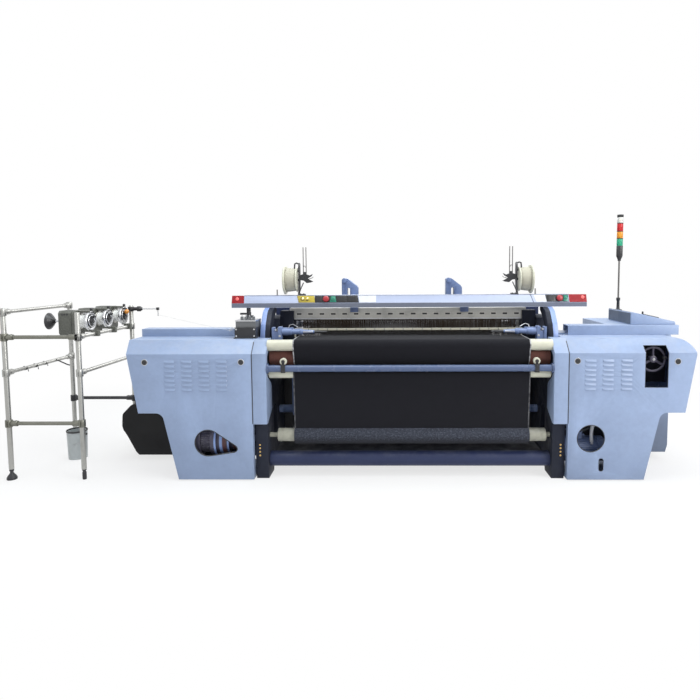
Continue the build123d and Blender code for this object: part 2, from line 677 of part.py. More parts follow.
# Covers
def cover_outline(sign, top_round, inset):
    """The front of a side cover, drawn in by a wall: a wide shoulder over a leg that leans in."""
    slope = (COVER_OUT - COVER_LEDGE) / (SHOULDER_Z - LEDGE_Z)
    leg_slope = (COVER_LEG - COVER_LEG_FOOT) / (LEDGE_Z - COVER_FOOT_Z)
    top = COVER_TOP_Z - inset
    foot = COVER_FOOT_Z + inset
    ledge = LEDGE_Z + inset
    points = [
        (COVER_IN + inset, foot), (COVER_IN + inset, top),
        (COVER_OUT + slope * (top - SHOULDER_Z) - inset, top),
        (COVER_LEDGE + slope * inset - inset, ledge), (COVER_LEG + leg_slope * inset - inset, ledge),
        (COVER_LEG_FOOT + leg_slope * inset - inset, foot),
    ]
    rounds = [(4, LEDGE_ROUND + inset)]
    if top_round:
        rounds.append((2, top_round - inset))
    return rounded([(sign * x, z) for x, z in points], rounds)


def slanted_front(solid, x, inset=0.0):
    """Cut the strip above the shoulder back to its slant, drawn in by a wall."""
    back = inset * 2 ** 0.5
    wedge = ((back - 10, SHOULDER_Z - 10), (FACET + back + 10, COVER_TOP_Z + 10),
             (back - 10, COVER_TOP_Z + 10))
    return solid - side_plate(rounded(wedge), x)


def louvre_cuts(left_edges):
    cuts = []
    for left in left_edges:
        for row in range(LOUVRE_ROWS):
            top = LOUVRE_TOP_Z - row * LOUVRE[2]
            cuts.append(block((left, left + LOUVRE[0]), (-1, SHEET + 1), (top - LOUVRE[1], top)))
    return cuts


def louvre_hoods(left_edges):
    """The pressed hood in front of each slot, open below."""
    hoods = []
    wall = LOUVRE_WALL
    for left in left_edges:
        for row in range(LOUVRE_ROWS):
            top = LOUVRE_TOP_Z - row * LOUVRE[2]
            lip = top - LOUVRE[1]
            profile = (
                (SHEET / 2, top + wall), (-LOUVRE_HOOD, lip + wall), (-LOUVRE_HOOD, lip),
                (wall - LOUVRE_HOOD, lip), (SHEET / 2, top - wall / 2),
            )
            hoods.append(side_plate(rounded(profile), (left, left + LOUVRE[0])))
    return hoods


def cover_shell(sign, top_round):
    """A folded sheet cover, open at the back."""
    x = sorted((sign * (COVER_IN - 10), sign * (COVER_OUT + 60)))
    solid = slanted_front(front_plate(cover_outline(sign, top_round, 0.0), (0, COVER_DEEP)), x)
    hollow = front_plate(cover_outline(sign, top_round, SHEET), (SHEET, COVER_DEEP + 1))
    shell = solid - slanted_front(hollow, x, SHEET)
    inner_wall = sorted((sign * (COVER_IN - 1), sign * (COVER_IN + SHEET + 1)))
    return shell - block(inner_wall, (COVER_FLANGE, COVER_DEEP + 1), DRIVE_GAP_Z)


def locks(*points):
    """Quarter-turn locks that stand proud of a cover's face."""
    return [round_y(point, LOCK_R, (-LOCK_OUT, SHEET)) for point in points]


def left_front_cover():
    cover = cover_shell(-1, 0)
    cover -= louvre_cuts(LEFT_LOUVRES)
    cover += louvre_hoods(LEFT_LOUVRES)
    big, tip = (Pos(at[0], at[1]) * Circle(at[2]) for at in (TEAR_BIG, TEAR_TIP))
    hole = make_hull(big.edges() + tip.edges())
    cover -= front_plate(hole, (-1, SHEET + 1))
    return cover + locks((-COVER_OUT + 127, 844), (-COVER_IN - 74, 844))


def right_front_cover():
    cover = cover_shell(1, 100)
    cover -= louvre_cuts(RIGHT_LOUVRES)
    cover += louvre_hoods(RIGHT_LOUVRES)
    cover -= block(WINDOW_X, (-1, WINDOW_Z[1] - SHOULDER_Z + SHEET * 2), WINDOW_Z)
    cover -= round_y(ROUND_HOLE[:2], ROUND_HOLE[2], (-1, SHEET + 1))
    (x, z, wide, high) = SLOT_HOLE
    slot = Pos(x, z) * SlotOverall(high, wide, rotation=90)
    cover -= front_plate(slot, (-1, SHEET + 1))
    return cover + locks((COVER_IN + 58, 846), (COVER_OUT - 132, 841))


def inner_cover():
    """The narrow cover on the right side frame: a front strip and a scalloped inner cheek."""
    top = COVER_TOP_Z
    x = (FRAME_IN - SHEET - REST_GAP, COVER_IN - REST_GAP)
    solid = block(x, (0, INNER_COVER_DEEP), (INNER_COVER_FOOT, top))
    solid = slanted_front(solid, (x[0] - 1, x[1] + 1))
    hollow = block((x[0] + SHEET, x[1] - SHEET), (SHEET, INNER_COVER_DEEP + 1),
                   (INNER_COVER_FOOT - 1, top - SHEET))
    shell = solid - slanted_front(hollow, x, SHEET)
    scallop = (
        (INNER_COVER_DEEP + 5, INNER_COVER_FOOT - 5), (FRAME_FRONT - 8, INNER_COVER_FOOT - 5),
        (INNER_COVER_DEEP - 15, 480), (INNER_COVER_DEEP - 15, 660), (FRAME_FRONT + 8, 735),
        (FRAME_FRONT + 8, 880), (INNER_COVER_DEEP - 40, 940), (INNER_COVER_DEEP + 5, 940),
    )
    cut = rounded(scallop, ((3, 30), (4, 40), (5, 40)))
    shell -= side_plate(cut, (x[0] - 1, FRAME_IN))
    shell -= round_x(BREAST_AXIS, BREAST_R + REST_GAP, (x[0] - 1, FRAME_IN), bore=True)
    return shell - block((FRAME_IN, x[1] + 1), (FRAME_FRONT - 3, INNER_COVER_DEEP + 1), (0, 900))


def rapier_box(sign, inner, top):
    """A channel on a side cover that a rapier draws back into, with the rail it slides on."""
    x = sorted((sign * inner, sign * BOX_OUT))
    inner_x = sorted((sign * (inner - 1), sign * (BOX_OUT - BOX_WALL)))
    box = block(x, BOX_D, (COVER_TOP_Z, top))
    box -= block(inner_x, (BOX_D[0] + BOX_WALL, BOX_D[1] - BOX_WALL),
                 (COVER_TOP_Z + BOX_WALL, top - BOX_WALL))
    rail_x = sorted((sign * (COVER_IN + 4), sign * (BOX_OUT - 4)))
    rail_y = (RAPIER_AXIS[0] - RAPIER_ROD[0] / 2 - 4, RAPIER_AXIS[0] + RAPIER_ROD[0] / 2 + 4)
    rail_top = RAPIER_AXIS[1] - RAPIER_ROD[1] / 2 - REST_GAP
    return box + block(rail_x, rail_y, (COVER_TOP_Z, rail_top))


def rapier(sign):
    """A rapier rod with its gripper head, drawn back beside the cloth."""
    (d, z) = RAPIER_AXIS
    (deep, high) = RAPIER_ROD
    rod_x = sorted((sign * (RAPIER_TIP + 80), sign * RAPIER_TAIL))
    rod = block(rod_x, (d - deep / 2, d + deep / 2), (z - high / 2, z + high / 2))
    tip = sign * RAPIER_TIP
    shoulder = sign * (RAPIER_TIP + 80)
    nose = ((tip, d - 5), (tip, d + 7), (shoulder, d + 16), (shoulder + sign * 30, d + 16),
            (shoulder + sign * 30, d - 16), (shoulder, d - 16))
    head = top_plate(rounded(nose), (z - high / 2 + 1, z + high / 2 + 5))
    slot = block(sorted((tip - sign, tip + sign * 46)), (d - 1, d + 3), (z - high, z + high))
    return rod + head - slot


def left_drive_cover():
    """The black cover over the drive at the loom's left rear, open towards the side frame."""
    solid = front_plate(rounded(DRIVE_COVER, ((3, 30), (4, 30), (5, 40), (6, 40))), DRIVE_COVER_D)
    side = solid.faces().sort_by(Axis.X)[-1]
    return offset(solid, amount=-SHEET, openings=side)


def right_rear_cabinet():
    """The control cabinet behind the right cover, with the bearing of the hand wheel."""
    (x0, x1) = CABINET_X
    (z0, z1) = CABINET_Z
    outline = ((x0, 0), (x0 + 118, 0), (x0 + 118, z0), (x1 - 14, z0), (x1, z0 + 55), (x1, z1),
               (x0, z1))
    body = front_plate(rounded(outline), CABINET_D)
    bore = (CABINET_D[0] - 1, CABINET_D[0] + SEAT * 2)
    return body - round_y(WHEEL_AT, WHEEL_SHAFT_R + RUN_CLEAR, bore, bore=True)


def control_hood():
    """The wedge-shaped terminal housing on the right rapier box."""
    foot = BOX_TOP[1]
    outline = ((HOOD_X[0], foot), (HOOD_X[1], foot), (HOOD_X[1], HOOD_TOP[1]),
               (HOOD_X[0], HOOD_TOP[0]))
    return front_plate(rounded(outline, ((2, 8), (3, 8))), HOOD_D)


def tiers():
    """Foot and top of each lens of the signal tower, from below."""
    spans = []
    foot = TIER_FOOT
    for high in TIERS:
        spans.append((foot, foot + high))
        foot += high + TIER_GAP
    return spans


def signal_tower():
    """The pole with its foot and lamp socket, the rings between the lenses, and the cap."""
    stops = (
        (1120, 34), (1160, 34), (1160, 15), (1226, 15), (1226, 18), (1248, 18), (1248, POLE_R),
        (POLE_TOP, POLE_R), (POLE_TOP, 11), (POLE_TOP + 38, TOWER_R), (TIER_FOOT, TOWER_R),
    )
    pole = Pos(TOWER_AT[0], TOWER_AT[1], 0) * turned(stops) - control_hood()
    rings = []
    for (_, top), high in zip(tiers(), (TIER_GAP, TIER_GAP, TIER_GAP, TOWER_CAP)):
        rings.append(round_z(TOWER_AT, TOWER_R, (top, top + high)))
    return loose(pole, *rings)


def tower_lenses():
    return loose(*[round_z(TOWER_AT, TOWER_R - 1, span) for span in tiers()])


# Front rail, temples and leno units
def front_rail():
    """The tube across the front, its two clamps and the stand-off ring on each clamp."""
    rail = round_x(RAIL_AXIS, RAIL_R, (-RAIL_HALF, RAIL_HALF))
    (d, z) = RAIL_AXIS
    for side in (-1, 1):
        x = (side * RAIL_CLAMP_X - 15, side * RAIL_CLAMP_X + 15)
        rail += block(x, (d - RAIL_R - 4, d + RAIL_R + 2), (z - RAIL_R - 3, z + RAIL_R + 5))
        rail += round_y((side * RAIL_CLAMP_X, z + RAIL_R + 22), 24.0, (d - 12, d + 10))
        cheek = FRAME_IN - SHEET - REST_GAP
        end = sorted((side * (cheek - RAIL_PLATE), side * cheek))
        rail += block(end, (d - RAIL_R, d + RAIL_R - 2), (z - RAIL_R, z + RAIL_R))
    return rail


def temple():
    """The right temple: a yoke on the side frame and the tapered cap over its spiked rings."""
    middle = (TEMPLE_D[0] + TEMPLE_D[1]) / 2
    yoke = block((FRAME_IN - YOKE_WIDE, FRAME_IN), TEMPLE_D, YOKE_Z)
    yoke -= block((FRAME_IN - YOKE_SLOT[1], FRAME_IN - YOKE_SLOT[0]), (TEMPLE_D[0] - 1, TEMPLE_D[1] + 1),
                  (YOKE_Z[1] - TEMPLE_R, YOKE_Z[1] + 1))
    stops = ((0, TEMPLE_R / 2), (100, TEMPLE_R), (FRAME_IN - YOKE_WIDE - TEMPLE_TIP, TEMPLE_R))
    return yoke + Pos(TEMPLE_TIP, middle, TEMPLE_Z) * Rot(0, 90, 0) * turned(stops)


def leno_unit():
    """The right leno bracket on the console, with the thread rods beside it."""
    foot = CONSOLE_Z + LIP + FACE_HIGH
    (d, z) = LENO_AXIS
    near = LENO_X - LENO_WIDE
    plate_x = (near - 16, near - 6)
    outline = ((d - 40, foot), (d - 8, foot), (d - 8, foot + 30), (d + 18, foot + 60),
               (d + 22, z + 120), (d - 2, z + 130), (d - 26, z + 112), (d - 34, foot + 50))
    body = side_plate(rounded(outline, ((3, 12), (4, 10), (6, 10))), plate_x)
    body += block((near - 60, near - 6), (d - 60, d - 8), (foot, foot + 8))
    body += round_x((d, z), LENO_PIN_R, (near - 10, LENO_X - 2))
    body += block((near - 82, near - 10), (d - 14, d + 14), (z - 26, z + 40))
    for offset_x, top, r in ((-72, 250, 5), (-50, 250, 5), (-61, 120, 17)):
        body += round_z((near + offset_x, d), r, (z, z + top))
    return body


def leno_bobbin():
    """The right bobbin: a drum between a wide outer flange and a smaller inner one."""
    near = LENO_X - LENO_WIDE
    stops = ((0, 92), (8, 92), (8, 84), (LENO_WIDE - 20, 96), (LENO_WIDE - 14, LENO_R),
             (LENO_WIDE - 4, LENO_R))
    body = turned(stops) - Pos(0, 0, LENO_WIDE - LENO_CUP[1]) * extrude(disc(LENO_CUP[0]), amount=20)
    body -= Pos(0, 0, -1) * extrude(disc(LENO_PIN_R + RUN_CLEAR, true=True), amount=LENO_WIDE)
    return Pos(near, *LENO_AXIS) * Rot(0, 90, 0) * body


def weft_selector():
    """The weft selector on the left cover, with its post to the console and its fingers."""
    foot = COVER_TOP_Z
    top = foot + SELECTOR_HIGH
    body = block(SELECTOR_X, SELECTOR_D, (foot, top))
    post_x = (SELECTOR_X[0] + 20, SELECTOR_X[0] + 46)
    body += block(post_x, (SELECTOR_D[1] - 10, CONSOLE_D + 40), (top - 20, top))
    body += block(post_x, (CONSOLE_D + 14, CONSOLE_D + 40), (top - 20, CONSOLE_Z))
    for finger in range(4):
        depth = SELECTOR_D[0] + 24 + finger * 22
        body += block((SELECTOR_X[0] - 44, SELECTOR_X[0]), (depth, depth + 5), (top - 24, top - 18))
        body += block((SELECTOR_X[0] - 44, SELECTOR_X[0] - 38), (depth, depth + 5),
                      (top - 44, top - 18))
    return body


# Console beam, its brackets, lamps and buttons
FACE = Plane(
    origin=(0, CONSOLE_D, CONSOLE_Z + LIP),
    x_dir=(1, 0, 0),
    z_dir=(0, -FACE_HIGH, FACE_LEAN),
)
FACE_LONG = hypot(FACE_HIGH, FACE_LEAN)


def trapezium(foot, top):
    """A button outline on the console's face, from the X range at its foot and at its top."""
    high = FACE_LONG - BUTTON_EDGE
    return ((foot[0], BUTTON_EDGE), (foot[1], BUTTON_EDGE), (top[1], high), (top[0], high))


def octagon(x):
    turn = pi / 4
    middle = FACE_LONG / 2
    return tuple((x + 22 * cos(turn * (k + 0.5)), middle + 22 * sin(turn * (k + 0.5)))
                 for k in range(8))


BUTTONS = {
    "menu_button": trapezium((-702, -652), (-702, -652)),
    "left_stop_button": octagon(-622),
    "left_start_button": trapezium((-593, -543), (-586, -551)),
    "left_forward_button": trapezium((-534, -464), (-542, -468)),
    "left_reverse_button": trapezium((-455, -375), (-459, -388)),
    "right_reverse_button": trapezium((1048, 1112), (1054, 1112)),
    "right_stop_button": octagon(1142),
    "right_start_button": trapezium((1171, 1208), (1176, 1203)),
}


def on_face(points, grow, low, high):
    """An outline on the console's face, grown by an amount and extruded along the face normal."""
    face = rounded(points)
    if grow:
        face = offset(face, amount=grow, kind=Kind.INTERSECTION)
    return FACE * Pos(0, 0, low) * extrude(face, amount=high - low)


def console_profile(inset):
    """Depth and height of the console's section, drawn in from its outside by a wall."""
    lean = FACE_LEAN * (FACE_HIGH - inset) / FACE_HIGH
    return (
        (CONSOLE_D + inset, CONSOLE_Z + inset), (CONSOLE_D + inset, CONSOLE_Z + LIP),
        (CONSOLE_D + inset + lean, CONSOLE_Z + LIP + FACE_HIGH - inset),
        (CONSOLE_D + CONSOLE_DEEP - inset, CONSOLE_Z + LIP + FACE_HIGH - inset),
        (CONSOLE_D + CONSOLE_DEEP - inset, CONSOLE_Z + inset),
    )


def console_beam():
    """The hollow beam over the weaver's side, with a window for each button."""
    x = (CONSOLE[0] + LAMP_LEFT, CONSOLE[1] - LAMP_RIGHT)
    beam = side_plate(rounded(console_profile(0)), x)
    beam -= side_plate(rounded(console_profile(CONSOLE_WALL)), (x[0] + CONSOLE_WALL, x[1] - CONSOLE_WALL))
    y = (CONSOLE_D, CONSOLE_D + CONSOLE_DEEP)
    for end in ((CONSOLE[0], x[0]), (x[1], CONSOLE[1])):
        beam += block(end, y, (CONSOLE_Z, CONSOLE_Z + LIP))
    for points in BUTTONS.values():
        beam -= on_face(points, BUTTON_GAP, -CONSOLE_WALL - 2, 1)
    return beam


def button(points):
    """A push button: the cap through the console's face, and the lip that keeps it in."""
    out = BUTTON_OUT * (2 if len(points) > 4 else 1)
    cap = on_face(points, 0, -CONSOLE_WALL - REST_GAP - 0.1, out)
    return cap + on_face(points, BUTTON_LIP, -CONSOLE_WALL - REST_GAP - 3, -CONSOLE_WALL - REST_GAP)


def end_lamps():
    """The two red lenses that close the console beam at its ends."""
    foot = CONSOLE_Z + LIP
    section = console_profile(0)[1:4] + ((CONSOLE_D + CONSOLE_DEEP, foot),)
    face = rounded(section)
    left = side_plate(face, (CONSOLE[0], CONSOLE[0] + LAMP_LEFT))
    right = side_plate(face, (CONSOLE[1] - LAMP_RIGHT, CONSOLE[1]))
    return loose(left, right)


def lamp_panel():
    """The yellow panel with its two small indicator lamps."""
    points = ((LAMP_PANEL_X[0] + 14, 4), (LAMP_PANEL_X[1], 4), (LAMP_PANEL_X[1] - 4, FACE_LONG - 4),
              (LAMP_PANEL_X[0], FACE_LONG - 4))
    panel = on_face(points, 0, 0, 2.5)
    for x in (-780.0, -756.0):
        panel += FACE * Pos(x, FACE_LONG / 2, 2) * extrude(disc(8), amount=7)
    return panel


def console_bracket():
    """The right console bracket: a curved casting that reaches back from the side frame."""
    foot = FRAME_SEAT
    profile = (
        (232, foot), (326, foot), (334, 1040), (404, 1120), (484, 1168), (484, CONSOLE_Z),
        (CONSOLE_D + 2, CONSOLE_Z), (330, 1170), (258, 1080), (232, 1010),
    )
    corners = ((2, 40), (3, 40), (7, 50), (8, 60))
    body = side_plate(rounded(profile, corners), (FRAME_IN + 16, FRAME_OUT))
    pocket = ((252, 985), (312, 985), (318, 1050), (372, 1120), (330, 1130), (272, 1060))
    return body - side_plate(rounded(pocket, ((0, 8), (1, 8), (3, 8))), (FRAME_OUT - 22, FRAME_OUT + 1))


# Drive pieces behind the covers
def drive_pulley():
    """The stepped pulley behind the left cover, on its own shaft."""
    start = -PULLEY_START
    solid = None
    for r, wide in PULLEY_STEPS:
        step = round_x(PULLEY_AXIS, r, (start, start + wide))
        solid = step if solid is None else solid + step
        start += wide
    return solid + round_x(PULLEY_AXIS, PULLEY_SHAFT_R, (start, -FRAME_OUT + SEAT), true=True)


def hand_wheel():
    """The hand wheel behind the right cover's window, with spokes, a grip and its shaft."""
    (x, z) = WHEEL_AT
    wheel = round_y(WHEEL_AT, WHEEL_R, WHEEL_D) - round_y(WHEEL_AT, WHEEL_R - 17, (0, 200))
    wheel += round_y(WHEEL_AT, 26.0, WHEEL_D)
    for spoke in range(3):
        bar = block((12, WHEEL_R - 8), (WHEEL_D[0] + 8, WHEEL_D[1] - 6), (-9, 9))
        wheel += Pos(x, 0, z) * Rot(0, 120 * spoke + 30, 0) * bar
    wheel += round_y((x + WHEEL_R - 22, z + 12), 11.0, (WHEEL_D[0] - 22, WHEEL_D[0] + 12))
    return wheel + round_y(WHEEL_AT, WHEEL_SHAFT_R, (WHEEL_D[0], CABINET_D[0] + SEAT), true=True)


def main_motor():
    """The finned drive motor on the right side frame, with its terminal box."""
    x = (FRAME_OUT, FRAME_OUT + MOTOR_LONG)
    motor = round_x(MOTOR_AXIS, MOTOR_R - 10, (x[0], x[1] - 30))
    motor += round_x(MOTOR_AXIS, MOTOR_R + 10, (x[0], x[0] + 22))
    motor += round_x(MOTOR_AXIS, MOTOR_R, (x[1] - 60, x[1]))
    for fin in range(MOTOR_FINS):
        plate = block((x[0] + 10, x[1] - 40), (-2.5, 2.5), (MOTOR_R - 22, MOTOR_R))
        motor += Pos(0, *MOTOR_AXIS) * Rot(360 / MOTOR_FINS * fin, 0, 0) * plate
    top = MOTOR_AXIS[1] + MOTOR_R
    box = block((x[0] + 60, x[0] + 150), (MOTOR_AXIS[0] - 38, MOTOR_AXIS[0] + 38), (top - 30, top + 42))
    return motor + box


# Weft feeder stand
def legs():
    return [(x, d) for x in STAND_X for d in STAND_D]


def bars():
    """Each cross tube of the stand as its start, its end and its height."""
    (left, right) = STAND_X
    (front, back) = STAND_D
    return (
        ((left, front), (right, front), HIGH_BAR_Z),
        ((left, front), (right, front), LOW_BAR_Z),
        ((left, back), (right, back), LOW_BAR_Z),
        ((left, front), (left, back), TOP_BAR_Z),
        ((left, front), (left, back), MID_BAR_Z),
        ((right, front), (right, back), MID_BAR_Z),
        ((right, front), (right, back), HIGH_BAR_Z),
    )


def bar_between(start, end, z, r, trim):
    """A level round bar between two legs, kept clear of each leg's axis by trim."""
    if start[1] == end[1]:
        return round_x((start[1], z), r, (start[0] + trim, end[0] - trim))
    return round_y((start[0], z), r, (start[1] + trim, end[1] - trim))


def stand_tubes():
    """Four legs and the cross tubes between them."""
    pieces = []
    for x, d in legs():
        top = TOP_BAR_Z + (20 if x == STAND_X[0] else -4)
        pieces.append(round_z((x, d), LEG_R, (FOOT_HIGH + STEM_HIGH + 12, top)))
    for start, end, z in bars():
        pieces.append(bar_between(start, end, z, CROSS_R, CLAMP_R))
    return loose(*pieces)


def leg_clamp(x, d, z):
    """The block that is clamped round a leg of the stand."""
    body = block((x - CLAMP_R, x + CLAMP_R), (d - CLAMP_R, d + CLAMP_R), z)
    return body - round_z((x, d), LEG_R, (z[0] - 1, z[1] + 1), bore=True)


def stand_fittings():
    """The clamps at every joint of the stand, its four feet, and the arm with the yarn eye."""
    joints = {(x, d, z) for start, end, z in bars() for x, d in (start, end)}
    pieces = [leg_clamp(x, d, (z - CLAMP_R, z + CLAMP_R)) for x, d, z in sorted(joints)]
    for x, d in legs():
        top = FOOT_HIGH + STEM_HIGH + 12
        if x == STAND_X[0]:
            stops = ((0, FOOT_R), (FOOT_HIGH, FOOT_R), (FOOT_HIGH, FOOT_R - 6), (FOOT_HIGH + 24, STEM_R),
                     (top, STEM_R))
            foot = Pos(x, d, 0) * turned(stops)
        else:
            foot = round_z((x, d), LEG_R - 3, (0, top))
        pieces.append(foot)
    (eye_x, eye_z) = EYE_AT
    back = STAND_D[1]
    arm_start = STAND_X[1] + CLAMP_R
    arm = round_x((back, eye_z), 6.0, (arm_start, eye_x - 10))
    arm += round_x((back, eye_z), 22.0, (arm_start + 40, arm_start + 70))
    arm += leg_clamp(STAND_X[1], back, (eye_z - 18, eye_z + 18))
    arm += block((eye_x - 10, eye_x + 8), (back - 12, back + 12), (eye_z - 12, eye_z + 12))
    arm += round_z((eye_x, back), EYE_R, (eye_z - EYE_DROP, eye_z))
    pieces.append(arm)
    return loose(*pieces)


def feeder_housing(depth):
    """A weft feeder: inlet funnel, motor body, drum, brush ring and the arm over the drum."""
    (x0, x1) = FEEDER_BODY
    z = FEEDER_Z
    outline = ((x0 + 8, z - FEEDER_FOOT + 20), (x0 + 34, z - FEEDER_FOOT), (x1 - 4, z - FEEDER_FOOT),
               (x1 - 4, z), (x1, z + 4), (x1, z + FEEDER_TOP), (x0, z + FEEDER_TOP), (x0, z))
    body = front_plate(rounded(outline, ((1, 14), (2, 14), (5, 10), (6, 14))),
                       (depth - FEEDER_HALF, depth + FEEDER_HALF))
    axis = (depth, z)
    body += round_x(axis, FEEDER_BOSS_R, (x1, x1 + DISC_T + 4))
    body += round_x(axis, DRUM_R, (x1 + DISC_T + 2 * REST_GAP, RING_X[0] - 6))
    body += block((x1 - 10, RING_X[1]), (depth - 26, depth + 26), (z + RING_R - 6, z + FEEDER_TOP))
    ring = round_x(axis, RING_R, RING_X) - round_x(axis, RING_HOLE_R, (RING_X[0] - 1, RING_X[1] + 1))
    body += ring
    funnel = ((0, FUNNEL_R), (FUNNEL_X[1] - FUNNEL_X[0], 12), (x0 - FUNNEL_X[0], 8))
    body += Pos(FUNNEL_X[0], *axis) * Rot(0, 90, 0) * turned(funnel)
    tube = (STAND_X[1], HIGH_BAR_Z)
    body += block((RING_X[0], tube[0] + 20), (depth - 12, depth + 12), (tube[1] - 20, z - RING_R + 6))
    return body - round_y(tube, CROSS_R, STAND_D)


def feeder_disc(depth):
    """The winding disc that turns between a feeder's body and its drum."""
    x = (FEEDER_BODY[1] + REST_GAP, FEEDER_BODY[1] + DISC_T + REST_GAP)
    axis = (depth, FEEDER_Z)
    plate = round_x(axis, DISC_R, x)
    return plate - round_x(axis, FEEDER_BOSS_R + RUN_CLEAR, (x[0] - 1, x[1] + 1), true=True)


def bucket():
    """The small pail on the floor under the feeders."""
    (x, d) = BUCKET_AT
    foot_r = BUCKET_R - BUCKET_TAPER
    rim_z = BUCKET_HIGH - BUCKET_RIM
    rim_r = BUCKET_R + 3
    outside = turned(((0, foot_r), (rim_z, BUCKET_R), (rim_z, rim_r), (BUCKET_HIGH, rim_r)))
    inside = turned(((BUCKET_FLOOR, foot_r - BUCKET_WALL), (BUCKET_HIGH + 1, BUCKET_R - BUCKET_WALL)))
    return Pos(x, d, 0) * (outside - inside)


def weft_yarn():
    """The weft yarn, tight between the stand's eye and the selector's first finger."""
    eye = Vector(EYE_AT[0], STAND_D[1], EYE_AT[1] - EYE_DROP + 8)
    finger = Vector(SELECTOR_X[0] - 41, SELECTOR_D[0] + 26.5, COVER_TOP_Z + SELECTOR_HIGH - 36)
    along = (finger - eye).normalized()
    clear = EYE_R + REST_GAP
    return tube_between(eye + along * clear, finger - along * clear, YARN_R)


# Everything is built and written here
def main():
    os.makedirs("parts", exist_ok=True)
    export("side_frame_right", side_frame(1))
    export("side_frame_left", left_side_frame())
    export("cross_members", cross_members())
    export("breast_bar", round_x(BREAST_AXIS, BREAST_R, (-FRAME_IN, FRAME_IN)))
    export("emery_roller", roller(EMERY_AXIS, EMERY_R, FRAME_IN - 8))
    export("press_roller", roller(PRESS_AXIS, PRESS_R, FRAME_IN - 8))
    export("guide_roller", roller(GUIDE_AXIS, GUIDE_R, FRAME_IN - 8))
    export("back_rest_roller", roller(BACK_REST_AXIS, BACK_REST_R, FRAME_IN - 8))
    export("cloth_roll_core", cloth_roll_core())
    export("cloth_roll_fabric", cloth_roll_fabric())
    export("warp_beam", warp_beam())
    export("woven_cloth", woven_cloth())
    export("warp_sheet", warp_sheet())
    export("warp_stop_motion", warp_stop_motion())
    export("sley", sley())
    export("reed", reed())
    export("heald_frames_odd", loose(heald_frame(0), heald_frame(2)))
    export("heald_frames_even", loose(heald_frame(1), heald_frame(3)))
    export("heald_guides", heald_guides())
    export("left_front_cover", left_front_cover())
    export("right_front_cover", right_front_cover())
    right_inner = inner_cover()
    export("inner_covers", loose(right_inner, mirrored(right_inner)))
    export("rapier_box_left", rapier_box(-1, BOX_IN[0], BOX_TOP[0]))
    export("rapier_box_right", rapier_box(1, BOX_IN[1], BOX_TOP[1]))
    export("rapier_left", rapier(-1))
    export("rapier_right", rapier(1))
    export("left_drive_cover", left_drive_cover())
    export("right_rear_cabinet", right_rear_cabinet())
    export("control_hood", control_hood())
    export("signal_tower", signal_tower())
    export("tower_lenses", tower_lenses())
    export("front_rail", front_rail())
    right_temple = temple()
    export("temples", loose(right_temple, mirrored(right_temple)))
    right_leno = leno_unit()
    export("leno_brackets", loose(right_leno, mirrored(right_leno)))
    right_bobbin = leno_bobbin()
    export("leno_bobbin_right", right_bobbin)
    export("leno_bobbin_left", mirrored(right_bobbin))
    export("weft_selector", weft_selector())
    export("console_beam", console_beam())
    export("end_lamps", end_lamps())
    export("lamp_panel", lamp_panel())
    right_bracket = console_bracket()
    export("console_brackets", loose(right_bracket, mirrored(right_bracket)))
    for name, points in BUTTONS.items():
        export(name, button(points))
    export("drive_pulley", drive_pulley())
    export("hand_wheel", hand_wheel())
    export("main_motor", main_motor())
    export("stand_tubes", stand_tubes())
    export("stand_fittings", stand_fittings())
    export("feeder_housings", loose(*[feeder_housing(depth) for depth in FEEDER_D]))
    for number, depth in enumerate(FEEDER_D, start=1):
        export(f"feeder_disc_{number}", feeder_disc(depth))
    export("bucket", bucket())
    export("weft_yarn", weft_yarn())


main()
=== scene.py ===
"""The looks of a rapier weaving loom and its weft feeder stand, laid over the loom's fixed frame."""

import json
from math import acos, atan2, cos, hypot, pi, radians, sin

import bmesh
import bpy
from mathutils import Matrix, Vector
from mathutils.bvhtree import BVHTree

